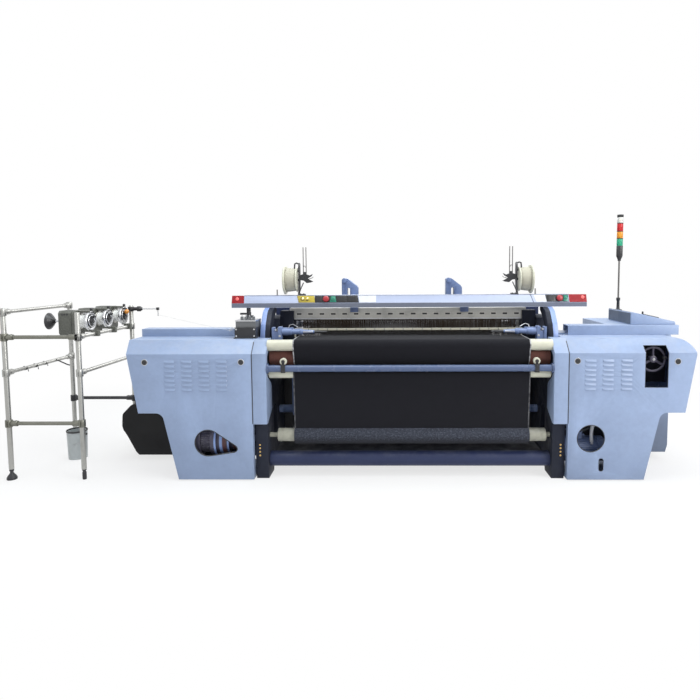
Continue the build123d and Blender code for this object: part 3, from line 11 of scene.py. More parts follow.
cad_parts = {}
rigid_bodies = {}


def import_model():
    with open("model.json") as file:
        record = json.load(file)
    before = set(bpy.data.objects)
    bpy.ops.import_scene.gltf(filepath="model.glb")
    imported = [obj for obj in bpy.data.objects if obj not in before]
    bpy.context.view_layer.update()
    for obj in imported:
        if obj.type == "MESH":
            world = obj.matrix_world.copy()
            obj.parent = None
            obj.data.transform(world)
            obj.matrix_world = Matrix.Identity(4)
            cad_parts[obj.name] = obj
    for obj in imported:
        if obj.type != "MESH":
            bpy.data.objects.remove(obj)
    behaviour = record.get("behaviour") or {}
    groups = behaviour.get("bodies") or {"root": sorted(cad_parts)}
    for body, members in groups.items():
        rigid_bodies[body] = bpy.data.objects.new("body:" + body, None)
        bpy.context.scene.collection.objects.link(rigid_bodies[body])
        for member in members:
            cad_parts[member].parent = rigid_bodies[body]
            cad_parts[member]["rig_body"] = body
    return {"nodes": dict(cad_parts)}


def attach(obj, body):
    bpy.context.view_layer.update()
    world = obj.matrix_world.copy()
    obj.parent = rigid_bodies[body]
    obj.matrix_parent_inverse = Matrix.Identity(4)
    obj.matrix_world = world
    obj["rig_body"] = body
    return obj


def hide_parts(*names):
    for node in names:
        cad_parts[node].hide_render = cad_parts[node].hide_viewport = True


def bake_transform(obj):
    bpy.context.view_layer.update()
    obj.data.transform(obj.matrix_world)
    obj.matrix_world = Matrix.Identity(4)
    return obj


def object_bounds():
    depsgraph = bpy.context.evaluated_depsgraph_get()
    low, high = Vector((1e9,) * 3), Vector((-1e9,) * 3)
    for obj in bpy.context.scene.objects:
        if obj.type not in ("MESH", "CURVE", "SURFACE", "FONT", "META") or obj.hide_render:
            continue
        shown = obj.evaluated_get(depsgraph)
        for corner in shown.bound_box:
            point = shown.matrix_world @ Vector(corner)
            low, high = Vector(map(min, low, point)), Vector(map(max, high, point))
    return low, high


bl_info = {
    "name": "Weaving Loom",
    "version": (1, 0, 0),
    "blender": (4, 5, 0),
    "location": "View3D > Sidebar > Loom",
    "description": "Finishes, yarns, cloth and small fittings of a weaving loom",
    "category": "Object",
}

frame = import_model()
LOW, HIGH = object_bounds()

# The loom's own measures are in millimetres: u along it from its centre line, d behind the front
# covers, z above the floor. These three values put them in the shared frame, in metres.
MM = 0.001
COVER_PROUD = 8.0            # the louvres and locks stand this far in front of the covers
LOOM_RIGHT = 1995.0
LOOM_X = HIGH.x - LOOM_RIGHT * MM
LOOM_Y = LOW.y + COVER_PROUD * MM


def place(u, d, z):
    """A point of the loom in the shared frame."""
    return Vector((LOOM_X + u * MM, LOOM_Y + d * MM, z * MM))


# Shader node groups and the small language they are written in
class Nodes:
    """Adds nodes to one tree; inputs go by name or number, and keywords are the node's own settings."""

    def __init__(self, tree):
        self.tree = tree

    def add(self, kind, inputs=(), **values):
        node = self.tree.nodes.new(kind)
        for name, value in values.items():
            setattr(node, name, value)
        for key, value in dict(inputs).items():
            if isinstance(value, bpy.types.NodeSocket):
                self.tree.links.new(value, node.inputs[key])
            else:
                node.inputs[key].default_value = value
        return node

    def math(self, operation, a, b=0.0, c=None):
        inputs = {0: a, 1: b}
        if c is not None:
            inputs[2] = c
        return self.add("ShaderNodeMath", inputs, operation=operation).outputs[0]

    def times(self, a, b):
        return self.math("MULTIPLY", a, b)

    def plus(self, a, b):
        return self.math("ADD", a, b)

    def parts(self, vector):
        return self.add("ShaderNodeSeparateXYZ", {0: vector}).outputs

    def grey(self, level):
        return self.add("ShaderNodeCombineColor", {0: level, 1: level, 2: level}).outputs[0]

    def darken(self, colour, level):
        return self.mix(1.0, colour, self.grey(level), "MULTIPLY")

    def waves(self, phase):
        """0 in the grooves and 1 on the ridges."""
        return self.math("ABSOLUTE", self.math("SINE", phase))

    def facing(self):
        return self.add("ShaderNodeNewGeometry").outputs["Normal"]

    def mix(self, factor, a, b, blend="MIX"):
        node = self.add("ShaderNodeMix", {"Factor": factor, 6: a, 7: b}, data_type="RGBA", blend_type=blend)
        return node.outputs[2]

    def ramp(self, value, low, high, to_low=0.0, to_high=1.0):
        inputs = {"Value": value, "From Min": low, "From Max": high, "To Min": to_low, "To Max": to_high}
        return self.add("ShaderNodeMapRange", inputs, interpolation_type="SMOOTHSTEP").outputs[0]

    def noise(self, vector, scale, detail=3.0, rough=0.55):
        inputs = {"Vector": vector, "Scale": scale, "Detail": detail, "Roughness": rough}
        return self.add("ShaderNodeTexNoise", inputs).outputs["Fac"]

    def stretched(self, vector, scale):
        return self.add("ShaderNodeMapping", {"Vector": vector, "Scale": scale}).outputs[0]


def new_group(name, inputs, outputs):
    """An empty shader group with named sockets; inputs and outputs are (name, kind, default)."""
    tree = bpy.data.node_groups.new(name, "ShaderNodeTree")
    for label, kind, default in inputs:
        socket = tree.interface.new_socket(label, in_out="INPUT", socket_type=f"NodeSocket{kind}")
        if default is not None:
            socket.default_value = default
    for label, kind in outputs:
        tree.interface.new_socket(label, in_out="OUTPUT", socket_type=f"NodeSocket{kind}")
    nodes = Nodes(tree)
    source = nodes.add("NodeGroupInput").outputs
    sink = nodes.add("NodeGroupOutput").inputs
    return tree, nodes, source, sink


def mottle_group():
    """A colour that wanders a little over the surface, as paint and moulding do."""
    tree, n, given, out = new_group(
        "Mottle",
        [("Vector", "Vector", None), ("Color", "Color", (0.5, 0.5, 0.5, 1)), ("Amount", "Float", 0.1),
         ("Scale", "Float", 3.0)],
        [("Color", "Color")])
    wide = n.noise(given["Vector"], given["Scale"], 4.0)
    fine = n.noise(given["Vector"], n.times(given["Scale"], 14.0), 2.0)
    both = n.plus(n.times(wide, 0.7), n.times(fine, 0.3))
    swing = n.times(n.math("SUBTRACT", both, 0.5), given["Amount"])
    level = n.plus(1.0, n.times(swing, 4.0))
    tree.links.new(n.darken(given["Color"], level), out["Color"])
    return tree


def edge_group():
    """A mask that is 1 on worn edges and 0 on faces."""
    tree, n, given, out = new_group(
        "Edge wear",
        [("Vector", "Vector", None), ("Radius", "Float", 0.004), ("Amount", "Float", 0.5)],
        [("Mask", "Float")])
    bevel = n.add("ShaderNodeBevel", {"Radius": given["Radius"]}, samples=4).outputs[0]
    dot = n.add("ShaderNodeVectorMath", {0: bevel, 1: n.facing()}, operation="DOT_PRODUCT").outputs["Value"]
    edge = n.ramp(dot, 0.995, 0.86)
    patchy = n.ramp(n.noise(given["Vector"], 38.0, 5.0, 0.7), 0.42, 0.66)
    mask = n.times(n.times(edge, patchy), given["Amount"])
    tree.links.new(mask, out["Mask"])
    return tree


def dust_group():
    """Lint and dust: a mask on faces that look up, in patches, and a thin film elsewhere."""
    tree, n, given, out = new_group(
        "Dust",
        [("Vector", "Vector", None), ("Amount", "Float", 0.3), ("Scale", "Float", 9.0)],
        [("Mask", "Float")])
    lying = n.ramp(n.parts(n.facing())[2], 0.25, 0.95)
    patches = n.ramp(n.noise(given["Vector"], given["Scale"], 6.0, 0.65), 0.38, 0.72)
    film = n.times(n.noise(given["Vector"], 2.3, 4.0), 0.22)
    mask = n.times(n.plus(n.times(lying, patches), film), given["Amount"])
    tree.links.new(mask, out["Mask"])
    return tree


def peel_group():
    """The fine pebbled height of sprayed paint or moulded plastic."""
    tree, n, given, out = new_group(
        "Orange peel",
        [("Vector", "Vector", None), ("Scale", "Float", 420.0)],
        [("Height", "Float")])
    coarse = n.noise(given["Vector"], given["Scale"], 2.0)
    fine = n.noise(given["Vector"], n.times(given["Scale"], 3.1), 1.0)
    tree.links.new(n.plus(coarse, n.times(fine, 0.4)), out["Height"])
    return tree


def brushed_group():
    """Long fine scratches along X, as height and as a mask."""
    tree, n, given, out = new_group(
        "Brushed", [("Vector", "Vector", None), ("Stretch", "Vector", (6.0, 900.0, 900.0))],
        [("Height", "Float")])
    drawn = n.add("ShaderNodeVectorMath", {0: given["Vector"], 1: given["Stretch"]},
                  operation="MULTIPLY").outputs[0]
    tree.links.new(n.noise(drawn, 1.0, 3.0, 0.7), out["Height"])
    return tree


def twill_group():
    """A twill weave: height of its ribs and a mask of the warp floats that lie on top."""
    tree, n, given, out = new_group(
        "Twill",
        [("Vector", "Vector", None), ("Pitch", "Float", 0.0024), ("Rise", "Float", 1.0)],
        [("Height", "Float"), ("Mask", "Float")])
    split = n.parts(given["Vector"])
    across = n.math("DIVIDE", split[0], given["Pitch"])
    along = n.math("DIVIDE", n.times(split[1], given["Rise"]), given["Pitch"])
    wale = n.math("SINE", n.times(n.plus(across, along), 2 * pi))
    ends = n.waves(n.times(across, 2.5 * pi))
    picks = n.waves(n.times(along, 2.5 * pi))
    mask = n.ramp(wale, -0.35, 0.35)
    height = n.plus(n.times(mask, ends), n.times(picks, 0.4))
    tree.links.new(height, out["Height"])
    tree.links.new(mask, out["Mask"])
    return tree


GROUPS = {
    "mottle": mottle_group(), "edge": edge_group(), "dust": dust_group(), "peel": peel_group(),
    "brushed": brushed_group(), "twill": twill_group(),
}
DUST = (0.42, 0.42, 0.44, 1.0)
BARE_METAL = (0.55, 0.55, 0.56, 1.0)
STRIP_WIDE = 0.052           # in metres, the strip that covers the emery roller
SEAM_DARK = (0.02, 0.015, 0.015, 1)
RIB_WIDE = 0.004             # in metres, the ribs inside a lens


def with_alpha(colour):
    return (*colour, 1.0)


class Finish(Nodes):
    """A material under construction: a Principled shader and the object's own coordinates."""

    def __init__(self, name, **sockets):
        self.material = bpy.data.materials.new(name)
        self.material.use_nodes = True
        super().__init__(self.material.node_tree)
        self.shader = self.tree.nodes["Principled BSDF"]
        self.where = self.add("ShaderNodeTexCoord").outputs["Object"]
        for key, value in sockets.items():
            self.shader.inputs[key.replace("_", " ")].default_value = value

    def group(self, name, **inputs):
        inputs["Vector"] = self.where
        return self.add("ShaderNodeGroup", inputs, node_tree=GROUPS[name]).outputs

    def feed(self, socket, value):
        self.tree.links.new(value, self.shader.inputs[socket])

    def bump(self, height, strength, distance=0.0004):
        node = self.add("ShaderNodeBump", {"Height": height, "Strength": strength, "Distance": distance})
        self.feed("Normal", node.outputs[0])


def paint(name, colour, rough=0.42, mottle=0.10, dust=0.3, wear=0.35, under=BARE_METAL, peel=0.12,
          shade=None, gloss=0.45):
    """Sprayed paint on metal, with dust where it looks up and wear along its edges.

    shade, as (low, high, level), darkens the paint towards the floor as painted shade.
    """
    f = Finish(name, Specular_IOR_Level=gloss)
    base = f.group("mottle", Color=with_alpha(colour), Amount=mottle, Scale=2.6)["Color"]
    # painted shade: the paint grows darker towards the floor, with a little wander
    if shade:
        (low, high, level) = shade
        height = f.parts(f.where)[2]
        wander = f.times(f.noise(f.where, 5.0, 3.0), 0.25)
        grade = f.ramp(f.plus(height, wander), low, high, level, 1.0)
        base = f.darken(base, grade)
    edge = f.group("edge", Radius=0.0035, Amount=wear)["Mask"]
    lint = f.group("dust", Amount=dust)["Mask"]
    base = f.mix(edge, base, under)
    base = f.mix(lint, base, DUST)
    f.feed("Base Color", base)
    smears = f.ramp(f.noise(f.where, 7.0, 5.0, 0.6), 0.3, 0.75, rough - 0.08, rough + 0.12)
    f.feed("Roughness", f.plus(smears, f.times(lint, 0.35)))
    f.bump(f.group("peel")["Height"], peel)
    return f.material


def plastic(name, colour, rough=0.34, dust=0.25, coat=0.0, grain=0.08, worn=0.2):
    """Moulded plastic with a fine grain and rubbed edges."""
    f = Finish(name, Coat_Weight=coat, Coat_Roughness=0.12, Specular_IOR_Level=0.5)
    base = f.group("mottle", Color=with_alpha(colour), Amount=0.06, Scale=9.0)["Color"]
    pale = tuple(min(1.0, c * 1.25 + 0.06) for c in colour)
    base = f.mix(f.group("edge", Radius=0.0025, Amount=worn)["Mask"], base, with_alpha(pale))
    lint = f.group("dust", Amount=dust, Scale=22.0)["Mask"]
    f.feed("Base Color", f.mix(lint, base, DUST))
    f.feed("Roughness", f.ramp(f.noise(f.where, 16.0, 4.0), 0.3, 0.7, rough - 0.06, rough + 0.10))
    f.bump(f.group("peel", Scale=700.0)["Height"], grain, 0.0003)
    return f.material


def metal(name, colour, rough=0.3, dust=0.2, stretch=(6.0, 900.0, 900.0), stain=0.25, strength=0.10):
    """Bare or plated metal with drawn scratches, faint stains and lint."""
    f = Finish(name, Metallic=1.0)
    base = f.group("mottle", Color=with_alpha(colour), Amount=0.10, Scale=6.0)["Color"]
    dull = f.ramp(f.noise(f.where, 11.0, 6.0, 0.68), 0.45, 0.78)
    dark = tuple(c * 0.55 for c in colour)
    base = f.mix(f.times(dull, stain), base, with_alpha(dark))
    lint = f.group("dust", Amount=dust)["Mask"]
    f.feed("Base Color", f.mix(lint, base, DUST))
    f.feed("Metallic", f.math("SUBTRACT", 1.0, lint))
    drawn = f.group("brushed", Stretch=stretch)["Height"]
    f.feed("Roughness", f.plus(f.times(drawn, 0.16), f.plus(rough - 0.08, f.times(dull, 0.18))))
    f.bump(drawn, strength, 0.0002)
    return f.material


def cloth_finish(name, dark, pale, pitch, rise=1.0, selvedge=None, fuzz=0.06, streak=0.0,
                 lint=0.0, under=0.0):
    """Woven cloth on its own UV map, in metres: ribs, slubs and a selvedge band if it has one.

    lint sets how much fluff lies on it, and under how much painted shade darkens it where it looks down.
    """
    f = Finish(name, Roughness=0.92, Sheen_Weight=fuzz, Sheen_Roughness=0.6, Specular_IOR_Level=0.08)
    f.where = f.add("ShaderNodeUVMap", uv_map="Cloth").outputs[0]
    weave = f.group("twill", Pitch=pitch, Rise=rise)
    slub = f.noise(f.stretched(f.where, (700.0, 9.0, 1.0)), 1.0, 3.0)
    bars = f.noise(f.stretched(f.where, (1.5, 160.0, 1.0)), 1.0, 2.0)
    base = f.mix(weave["Mask"], with_alpha(pale), with_alpha(dark))
    base = f.mix(f.ramp(slub, 0.35, 0.75, 0.0, 0.45), base, with_alpha(pale))
    base = f.mix(f.ramp(bars, 0.45, 0.8, 0.0, 0.25 + streak), base, with_alpha(dark))
    if lint:
        fluff = f.noise(f.stretched(f.where, (70.0, 90.0, 1.0)), 1.0, 5.0, 0.75)
        base = f.mix(f.ramp(fluff, 0.46, 0.70, 0.0, lint), base, with_alpha(mix_over(pale, 2.6)))
    if under:
        # painted shade: darker where the surface looks down
        down = f.ramp(f.parts(f.facing())[2], -0.85, 0.25, under, 0.0)
        base = f.mix(down, base, with_alpha(dark))
    if selvedge:
        (half, wide, colour) = selvedge
        parts = f.parts(f.where)
        across = f.math("ABSOLUTE", parts[0])
        frayed = f.noise(f.stretched(f.where, (60.0, 35.0, 1.0)), 1.0, 4.0, 0.7)
        upper = f.ramp(parts[1], 0.42, 0.50, 1.0, 0.25)
        band = f.times(f.ramp(across, half - wide - 0.0015, half - wide),
                       f.times(upper, f.ramp(frayed, 0.35, 0.6, 0.2, 1.0)))
        base = f.mix(band, base, with_alpha(colour))
    f.feed("Base Color", base)
    f.bump(weave["Height"], 0.45, 0.0006)
    return f.material


def yarn_finish(name, colour, pale, lines=0.0022, fuzz=0.5):
    """Parallel yarns along the second axis of the piece's own UV map, in metres, with painted shade in the
    grooves between them.
    """
    f = Finish(name, Roughness=0.85, Sheen_Weight=fuzz, Sheen_Roughness=0.6, Specular_IOR_Level=0.25)
    f.where = f.add("ShaderNodeUVMap", uv_map="Cloth").outputs[0]
    across = f.parts(f.where)[0]
    ridge = f.waves(f.times(across, pi / lines))
    each = f.noise(f.stretched(f.where, (420.0, 0.6, 1.0)), 1.0, 2.0)
    base = f.mix(f.ramp(each, 0.3, 0.75), with_alpha(colour), with_alpha(pale))
    # painted shade: the grooves between the yarns are darkened
    groove_shade = f.ramp(ridge, 0.0, 0.6, 0.35, 1.0)
    f.feed("Base Color", f.darken(base, groove_shade))
    f.bump(ridge, 0.6, 0.0008)
    return f.material


def grit_finish(name, colour, speck):
    """An abrasive or cork covering wound in a strip."""
    f = Finish(name, Roughness=0.92, Specular_IOR_Level=0.3)
    cells = f.add("ShaderNodeTexVoronoi", {"Vector": f.where, "Scale": 520.0}).outputs["Distance"]
    base = f.group("mottle", Color=with_alpha(colour), Amount=0.22, Scale=7.0)["Color"]
    base = f.mix(f.ramp(cells, 0.05, 0.5, 0.5, 0.0), base, with_alpha(speck))
    seam = f.math("FRACT", f.math("DIVIDE", f.parts(f.where)[0], STRIP_WIDE))
    base = f.mix(f.ramp(seam, 0.95, 0.99, 0.0, 0.6), base, SEAM_DARK)
    f.feed("Base Color", base)
    f.bump(cells, 0.7, 0.0009)
    return f.material


def lens_finish(name, colour, glow=0.0, clear=0.25):
    """A moulded lens: clear, coloured right through, with ribs inside it."""
    f = Finish(name, Roughness=0.26, Transmission_Weight=clear, IOR=1.46, Specular_IOR_Level=0.3)
    base = f.group("mottle", Color=with_alpha(colour), Amount=0.05, Scale=12.0)["Color"]
    rib = f.waves(f.times(f.parts(f.where)[2], pi / RIB_WIDE))
    lint = f.group("dust", Amount=0.2)["Mask"]
    f.feed("Base Color", f.mix(lint, base, DUST))
    if glow:
        f.shader.inputs["Emission Color"].default_value = with_alpha(colour)
        f.shader.inputs["Emission Strength"].default_value = glow
    f.bump(rib, 0.12, 0.0004)
    return f.material


# Mesh building in the loom's own millimetres
AXES = {"u": lambda s, a, b: (s, a, b), "d": lambda s, a, b: (a, s, b), "z": lambda s, a, b: (a, b, s)}
M = {}
SHARP_FROM = radians(35)     # an edge of a turned piece that bends by more than this stays sharp
BEVEL_FROM = radians(38)     # a bevel rounds the edges that bend by more than this
SOFT_FROM = radians(32)      # the same for the copies of the CAD nodes
FLAT_WITHIN = radians(1)     # faces of a CAD node that bend by less than this are one
SAME_CORNER = 0.00002        # in metres; corners of a CAD node that are this close are one
PROUD = 1.0                  # what stands further out of the covers' front plane than this is a lock


def circle(a, b, r, count, first=0.0):
    """Points of a circle round (a, b), from its first angle on."""
    angles = [2 * pi * k / count + first for k in range(count)]
    return [(a + r * cos(angle), b + r * sin(angle)) for angle in angles]


def flank(side, near, far):
    """The span of u between two distances on the left (-1) or the right (1) of the loom's middle."""
    return sorted((side * near, side * far))


def outward(side, stops):
    """A lathe's stops, with their distances taken to one side of the loom's middle."""
    return [(side * u, r) for u, r in stops]


def add_object(name, data):
    """A new object in the scene, with its mesh, curve, lamp or camera."""
    obj = bpy.data.objects.new(name, data)
    bpy.context.scene.collection.objects.link(obj)
    return obj


def add_mesh(name, bm, *finishes):
    """Turns a finished BMesh into an object with its finishes."""
    mesh = bpy.data.meshes.new(name)
    bm.to_mesh(mesh)
    bm.free()
    for finish in finishes:
        mesh.materials.append(M[finish])
    return add_object(name, mesh)


def keep_sharp(obj):
    """Marks the sharp edges of a piece that has smooth faces."""
    if any(face.use_smooth for face in obj.data.polygons):
        obj.data.set_sharp_from_angle(angle=SHARP_FROM)


def round_edges(obj, bevel, segments, angle):
    """A bevel on the edges that bend by more than an angle, shaded smooth."""
    modifier = obj.modifiers.new("Bevel", "BEVEL")
    modifier.width = bevel * MM
    modifier.segments = segments
    modifier.limit_method = "ANGLE"
    modifier.angle_limit = angle
    modifier.harden_normals = True
    obj.data.shade_smooth()


def settle(obj, body, stands_for=None):
    """Makes a piece ride on a body and, if it stands for a node, hides the node."""
    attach(obj, body)
    if stands_for:
        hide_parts(stands_for)


class Shape:
    """Collects closed parts in the loom's millimetres, then turns them into one piece."""

    def __init__(self):
        self.bm = bmesh.new()

    def mesh(self, points, faces):
        made = [self.bm.verts.new(point) for point in points]
        for face in faces:
            self.bm.faces.new([made[k] for k in face])

    def box(self, u, d, z):
        corners = [(a, b, c) for a in u for b in d for c in z]
        faces = ((0, 1, 3, 2), (4, 6, 7, 5), (0, 4, 5, 1), (2, 3, 7, 6), (0, 2, 6, 4), (1, 5, 7, 3))
        self.mesh(corners, faces)

    def extrude(self, points):
        """A solid between two outlines, given one after the other."""
        count = len(points) // 2
        faces = [tuple(range(count)), tuple(range(2 * count - 1, count - 1, -1))]
        faces += [(k, (k + 1) % count, count + (k + 1) % count, count + k) for k in range(count)]
        self.mesh(points, faces)

    def prism(self, outline, span, axis="d"):
        """An outline extruded along d (points are u, z), along u (d, z) or along z (u, d)."""
        self.extrude([AXES[axis](s, a, b) for s in span for a, b in outline])

    def skin(self, rings, smooth=True):
        """Joins rings of points, one to the next; a ring of one point closes an end."""
        rings = [[self.bm.verts.new(point) for point in ring] for ring in rings]
        for first, second in zip(rings, rings[1:]):
            count = max(len(first), len(second))
            for k in range(count if count > 1 else 0):
                n = (k + 1) % count
                if len(first) == 1:
                    corners = (first[0], second[n], second[k])
                elif len(second) == 1:
                    corners = (first[k], first[n], second[0])
                else:
                    corners = (first[k], first[n], second[n], second[k])
                self.bm.faces.new(corners).smooth = smooth
        return rings

    def lathe(self, centre, stops, axis="u", sides=32, smooth=True):
        """A turned part: stops are (distance along the axis, radius); a radius of 0 closes an end."""
        (cu, cd, cz) = centre
        rings = []
        for s, r in stops:
            spots = [AXES[axis](s, a, b) for a, b in (circle(0, 0, r, sides) if r > 0 else [(0, 0)])]
            rings.append([(cu + u, cd + d, cz + z) for u, d, z in spots])
        self.skin(rings, smooth)

    def bar(self, start, end, r, sides=12):
        """A round bar between two points."""
        self.path([start, end], r, sides)

    def path(self, points, r, sides=10, closed_ends=True):
        """A round wire or pipe through points, mitred at each of them."""
        points = [Vector(p) for p in points]
        rings = []
        side = None
        for k, point in enumerate(points):
            ahead = points[min(k + 1, len(points) - 1)] - point
            behind = point - points[max(k - 1, 0)]
            along = (ahead.normalized() + behind.normalized()).normalized()
            if side is None:
                side = along.orthogonal().normalized()
            side = (side - along * side.dot(along)).normalized()
            up = along.cross(side)
            rings.append([point + side * a + up * b for a, b in circle(0, 0, r, sides)])
        rings = self.skin(rings)
        if closed_ends:
            for ring in (rings[0][::-1], rings[-1]):
                self.bm.faces.new(ring)

    def hoop(self, points, r, sides, overlap=1):
        """A round wire that ends where it starts."""
        self.path(points + points[:overlap], r, sides, closed_ends=False)

    def bolt(self, at, r, axis="d", out=-1, washer=True):
        """A hexagon head on a washer that stands out of a face along an axis."""
        high = r * 0.75 * out
        if washer:
            self.lathe(at, ((0, 0), (0, r * 1.45), (high * 0.3, r * 1.45), (high * 0.3, 0)), axis, 16, False)
        head = ((0, 0), (0, r), (high, r * 0.98), (high * 1.15, r * 0.8), (high * 1.15, 0))
        self.lathe(at, head, axis, 6, False)

    def piece(self, name, body, slot, finish, stands_for=None, bevel=0.0, segments=2, level=0):
        """Ends the piece: moves it into the shared frame and makes it ride on a body."""
        bmesh.ops.recalc_face_normals(self.bm, faces=self.bm.faces[:])
        for vertex in self.bm.verts:
            vertex.co = place(*vertex.co)
        obj = add_mesh(name, self.bm, finish)
        if bevel:
            round_edges(obj, bevel, segments, BEVEL_FROM)
        else:
            keep_sharp(obj)
        if level:
            modifier = obj.modifiers.new("Subdivision", "SUBSURF")
            modifier.levels = level
            modifier.render_levels = level
        settle(obj, body, stands_for)


# Repeats by Geometry Nodes: one small mesh on points, made real and given its material
def repeat_tree(name):
    """A node tree that puts an object's mesh on each vertex of the piece, turned by random tilt."""
    tree = bpy.data.node_groups.new(name, "GeometryNodeTree")
    for label, kind in (("Geometry", "Geometry"), ("Part", "Object"), ("Tilt", "Float"), ("Seed", "Int"),
                        ("Material", "Material")):
        tree.interface.new_socket(label, in_out="INPUT", socket_type=f"NodeSocket{kind}")
    tree.interface.new_socket("Geometry", in_out="OUTPUT", socket_type="NodeSocketGeometry")
    n = Nodes(tree)
    given = n.add("NodeGroupInput").outputs
    info = n.add("GeometryNodeObjectInfo", {"Object": given["Part"]}, transform_space="ORIGINAL")
    corners = []
    for tilt in (n.times(given["Tilt"], -1.0), given["Tilt"]):
        corners.append(n.add("ShaderNodeCombineXYZ", {0: tilt, 1: tilt, 2: tilt}).outputs[0])
    turn = n.add("FunctionNodeRandomValue", {0: corners[0], 1: corners[1], "Seed": given["Seed"]},
                 data_type="FLOAT_VECTOR").outputs[0]
    placed = n.add("GeometryNodeInstanceOnPoints", {
        "Points": given["Geometry"], "Instance": info.outputs["Geometry"], "Rotation": turn}).outputs[0]
    real = n.add("GeometryNodeRealizeInstances", {0: placed}).outputs[0]
    done = n.add("GeometryNodeSetMaterial", {"Geometry": real, "Material": given["Material"]}).outputs[0]
    n.add("NodeGroupOutput", {0: done})
    return tree


REPEAT = repeat_tree("Repeat on points")


def socket_id(label):
    return next(item.identifier for item in REPEAT.interface.items_tree
                if item.name == label and item.in_out == "INPUT")


def repeat(name, shape, points, body, finish, tilt=0.0, seed=1):
    """Puts a small shape, drawn round the loom's zero point, on every point."""
    for vertex in shape.bm.verts:
        vertex.co *= MM
    bmesh.ops.recalc_face_normals(shape.bm, faces=shape.bm.faces[:])
    part = add_mesh(name + "_part", shape.bm)
    cloud = bpy.data.meshes.new(name + "_points")
    cloud.from_pydata([place(*p) for p in points], [], [])
    carrier = add_object(name + "_points", cloud)
    modifier = carrier.modifiers.new("Repeat", "NODES")
    modifier.node_group = REPEAT
    for label, value in (("Part", part), ("Tilt", tilt), ("Seed", seed), ("Material", M[finish])):
        modifier[socket_id(label)] = value
    bpy.context.view_layer.update()
    graph = bpy.context.evaluated_depsgraph_get()
    mesh = bpy.data.meshes.new_from_object(carrier.evaluated_get(graph), depsgraph=graph)
    mesh.name = name
    carrier.modifiers.remove(modifier)
    bpy.data.objects.remove(carrier)
    bpy.data.objects.remove(part)
    obj = add_object(name, mesh)
    keep_sharp(obj)
    settle(obj, body)


def soften(node, finish, bevel=1.2, second=None, chosen=None, cuts=(), sink=0.0):
    """Stands a copy of a rigid node, with its edges rounded, in the node's place.

    Faces whose middle chosen(u) picks take the second finish; cuts are the u where it may change.
    What stands out of the covers' front plane is set back by sink, to leave room for what is drawn over it.
    """
    source = frame["nodes"][node]
    bm = bmesh.new()
    bm.from_mesh(source.data)
    bmesh.ops.remove_doubles(bm, verts=bm.verts[:], dist=SAME_CORNER)
    bmesh.ops.dissolve_limit(bm, angle_limit=FLAT_WITHIN, verts=bm.verts[:], edges=bm.edges[:])
    for vert in bm.verts:
        if vert.co.y < place(0, -PROUD, 0)[1]:
            vert.co.y += sink * MM
    for u in cuts:
        everything = bm.verts[:] + bm.edges[:] + bm.faces[:]
        bmesh.ops.bisect_plane(bm, geom=everything, plane_co=place(u, 0, 0), plane_no=(1, 0, 0))
    if second:
        for face in bm.faces:
            face.material_index = int(chosen((face.calc_center_median().x - LOOM_X) / MM))
    obj = add_mesh("finished_" + node, bm, *filter(None, (finish, second)))
    round_edges(obj, bevel, 2, SOFT_FROM)
    settle(obj, source["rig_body"], node)


# Sizes and colours that a user would change
def colour_property(name, description, default):
    return bpy.props.FloatVectorProperty(
        name=name, description=description, subtype="COLOR", size=3, min=0.0, max=1.0, default=default)


class LoomColours(bpy.types.PropertyGroup):
    cover: colour_property("Covers", "Powder coat of the side covers and boxes", (0.275, 0.355, 0.53))
    casting: colour_property("Castings", "Paint on the blue castings and the front rail", (0.14, 0.20, 0.38))
    frame: colour_property("Side frames", "Dark paint on the side frames and the tube", (0.012, 0.015, 0.028))
    console: colour_property("Console", "Powder coat of the console beam and the hood", (0.50, 0.56, 0.74))
    cloth: colour_property("Cloth", "Warp face of the woven cloth", (0.0074, 0.0074, 0.0098))
    roll: colour_property("Roll", "Pale side of the wound cloth", (0.060, 0.067, 0.088))
    cream: colour_property("Cream", "Painted breast bar, guide roller and bobbins", (0.58, 0.57, 0.46))


class LoomSizes(bpy.types.PropertyGroup):
    cloth_pitch: bpy.props.FloatProperty(
        name="Twill pitch", description="Distance from one twill rib to the next", default=0.0026,
        min=0.001, max=0.01, unit="LENGTH")
    ripple: bpy.props.FloatProperty(
        name="Ripple", description="How far the cloth wanders out of its plane", default=0.0009,
        min=0.0, max=0.003, unit="LENGTH")
    yarn: bpy.props.FloatProperty(
        name="Weft yarn", description="Diameter of the weft yarn", default=0.002,
        min=0.0005, max=0.004, unit="LENGTH")
    dents: bpy.props.IntProperty(
        name="Reed dents", description="Number of blades in the reed", default=420, min=50, max=900)
    healds: bpy.props.IntProperty(
        name="Healds", description="Number of healds on each frame", default=260, min=20, max=400)
    ends: bpy.props.IntProperty(
        name="Warp ends", description="Number of yarns drawn in each half of the shed", default=230,
        min=20, max=600)


# Finishes, and which node takes which
def mix_over(colour, factor):
    return tuple(min(1.0, c * factor) for c in colour)


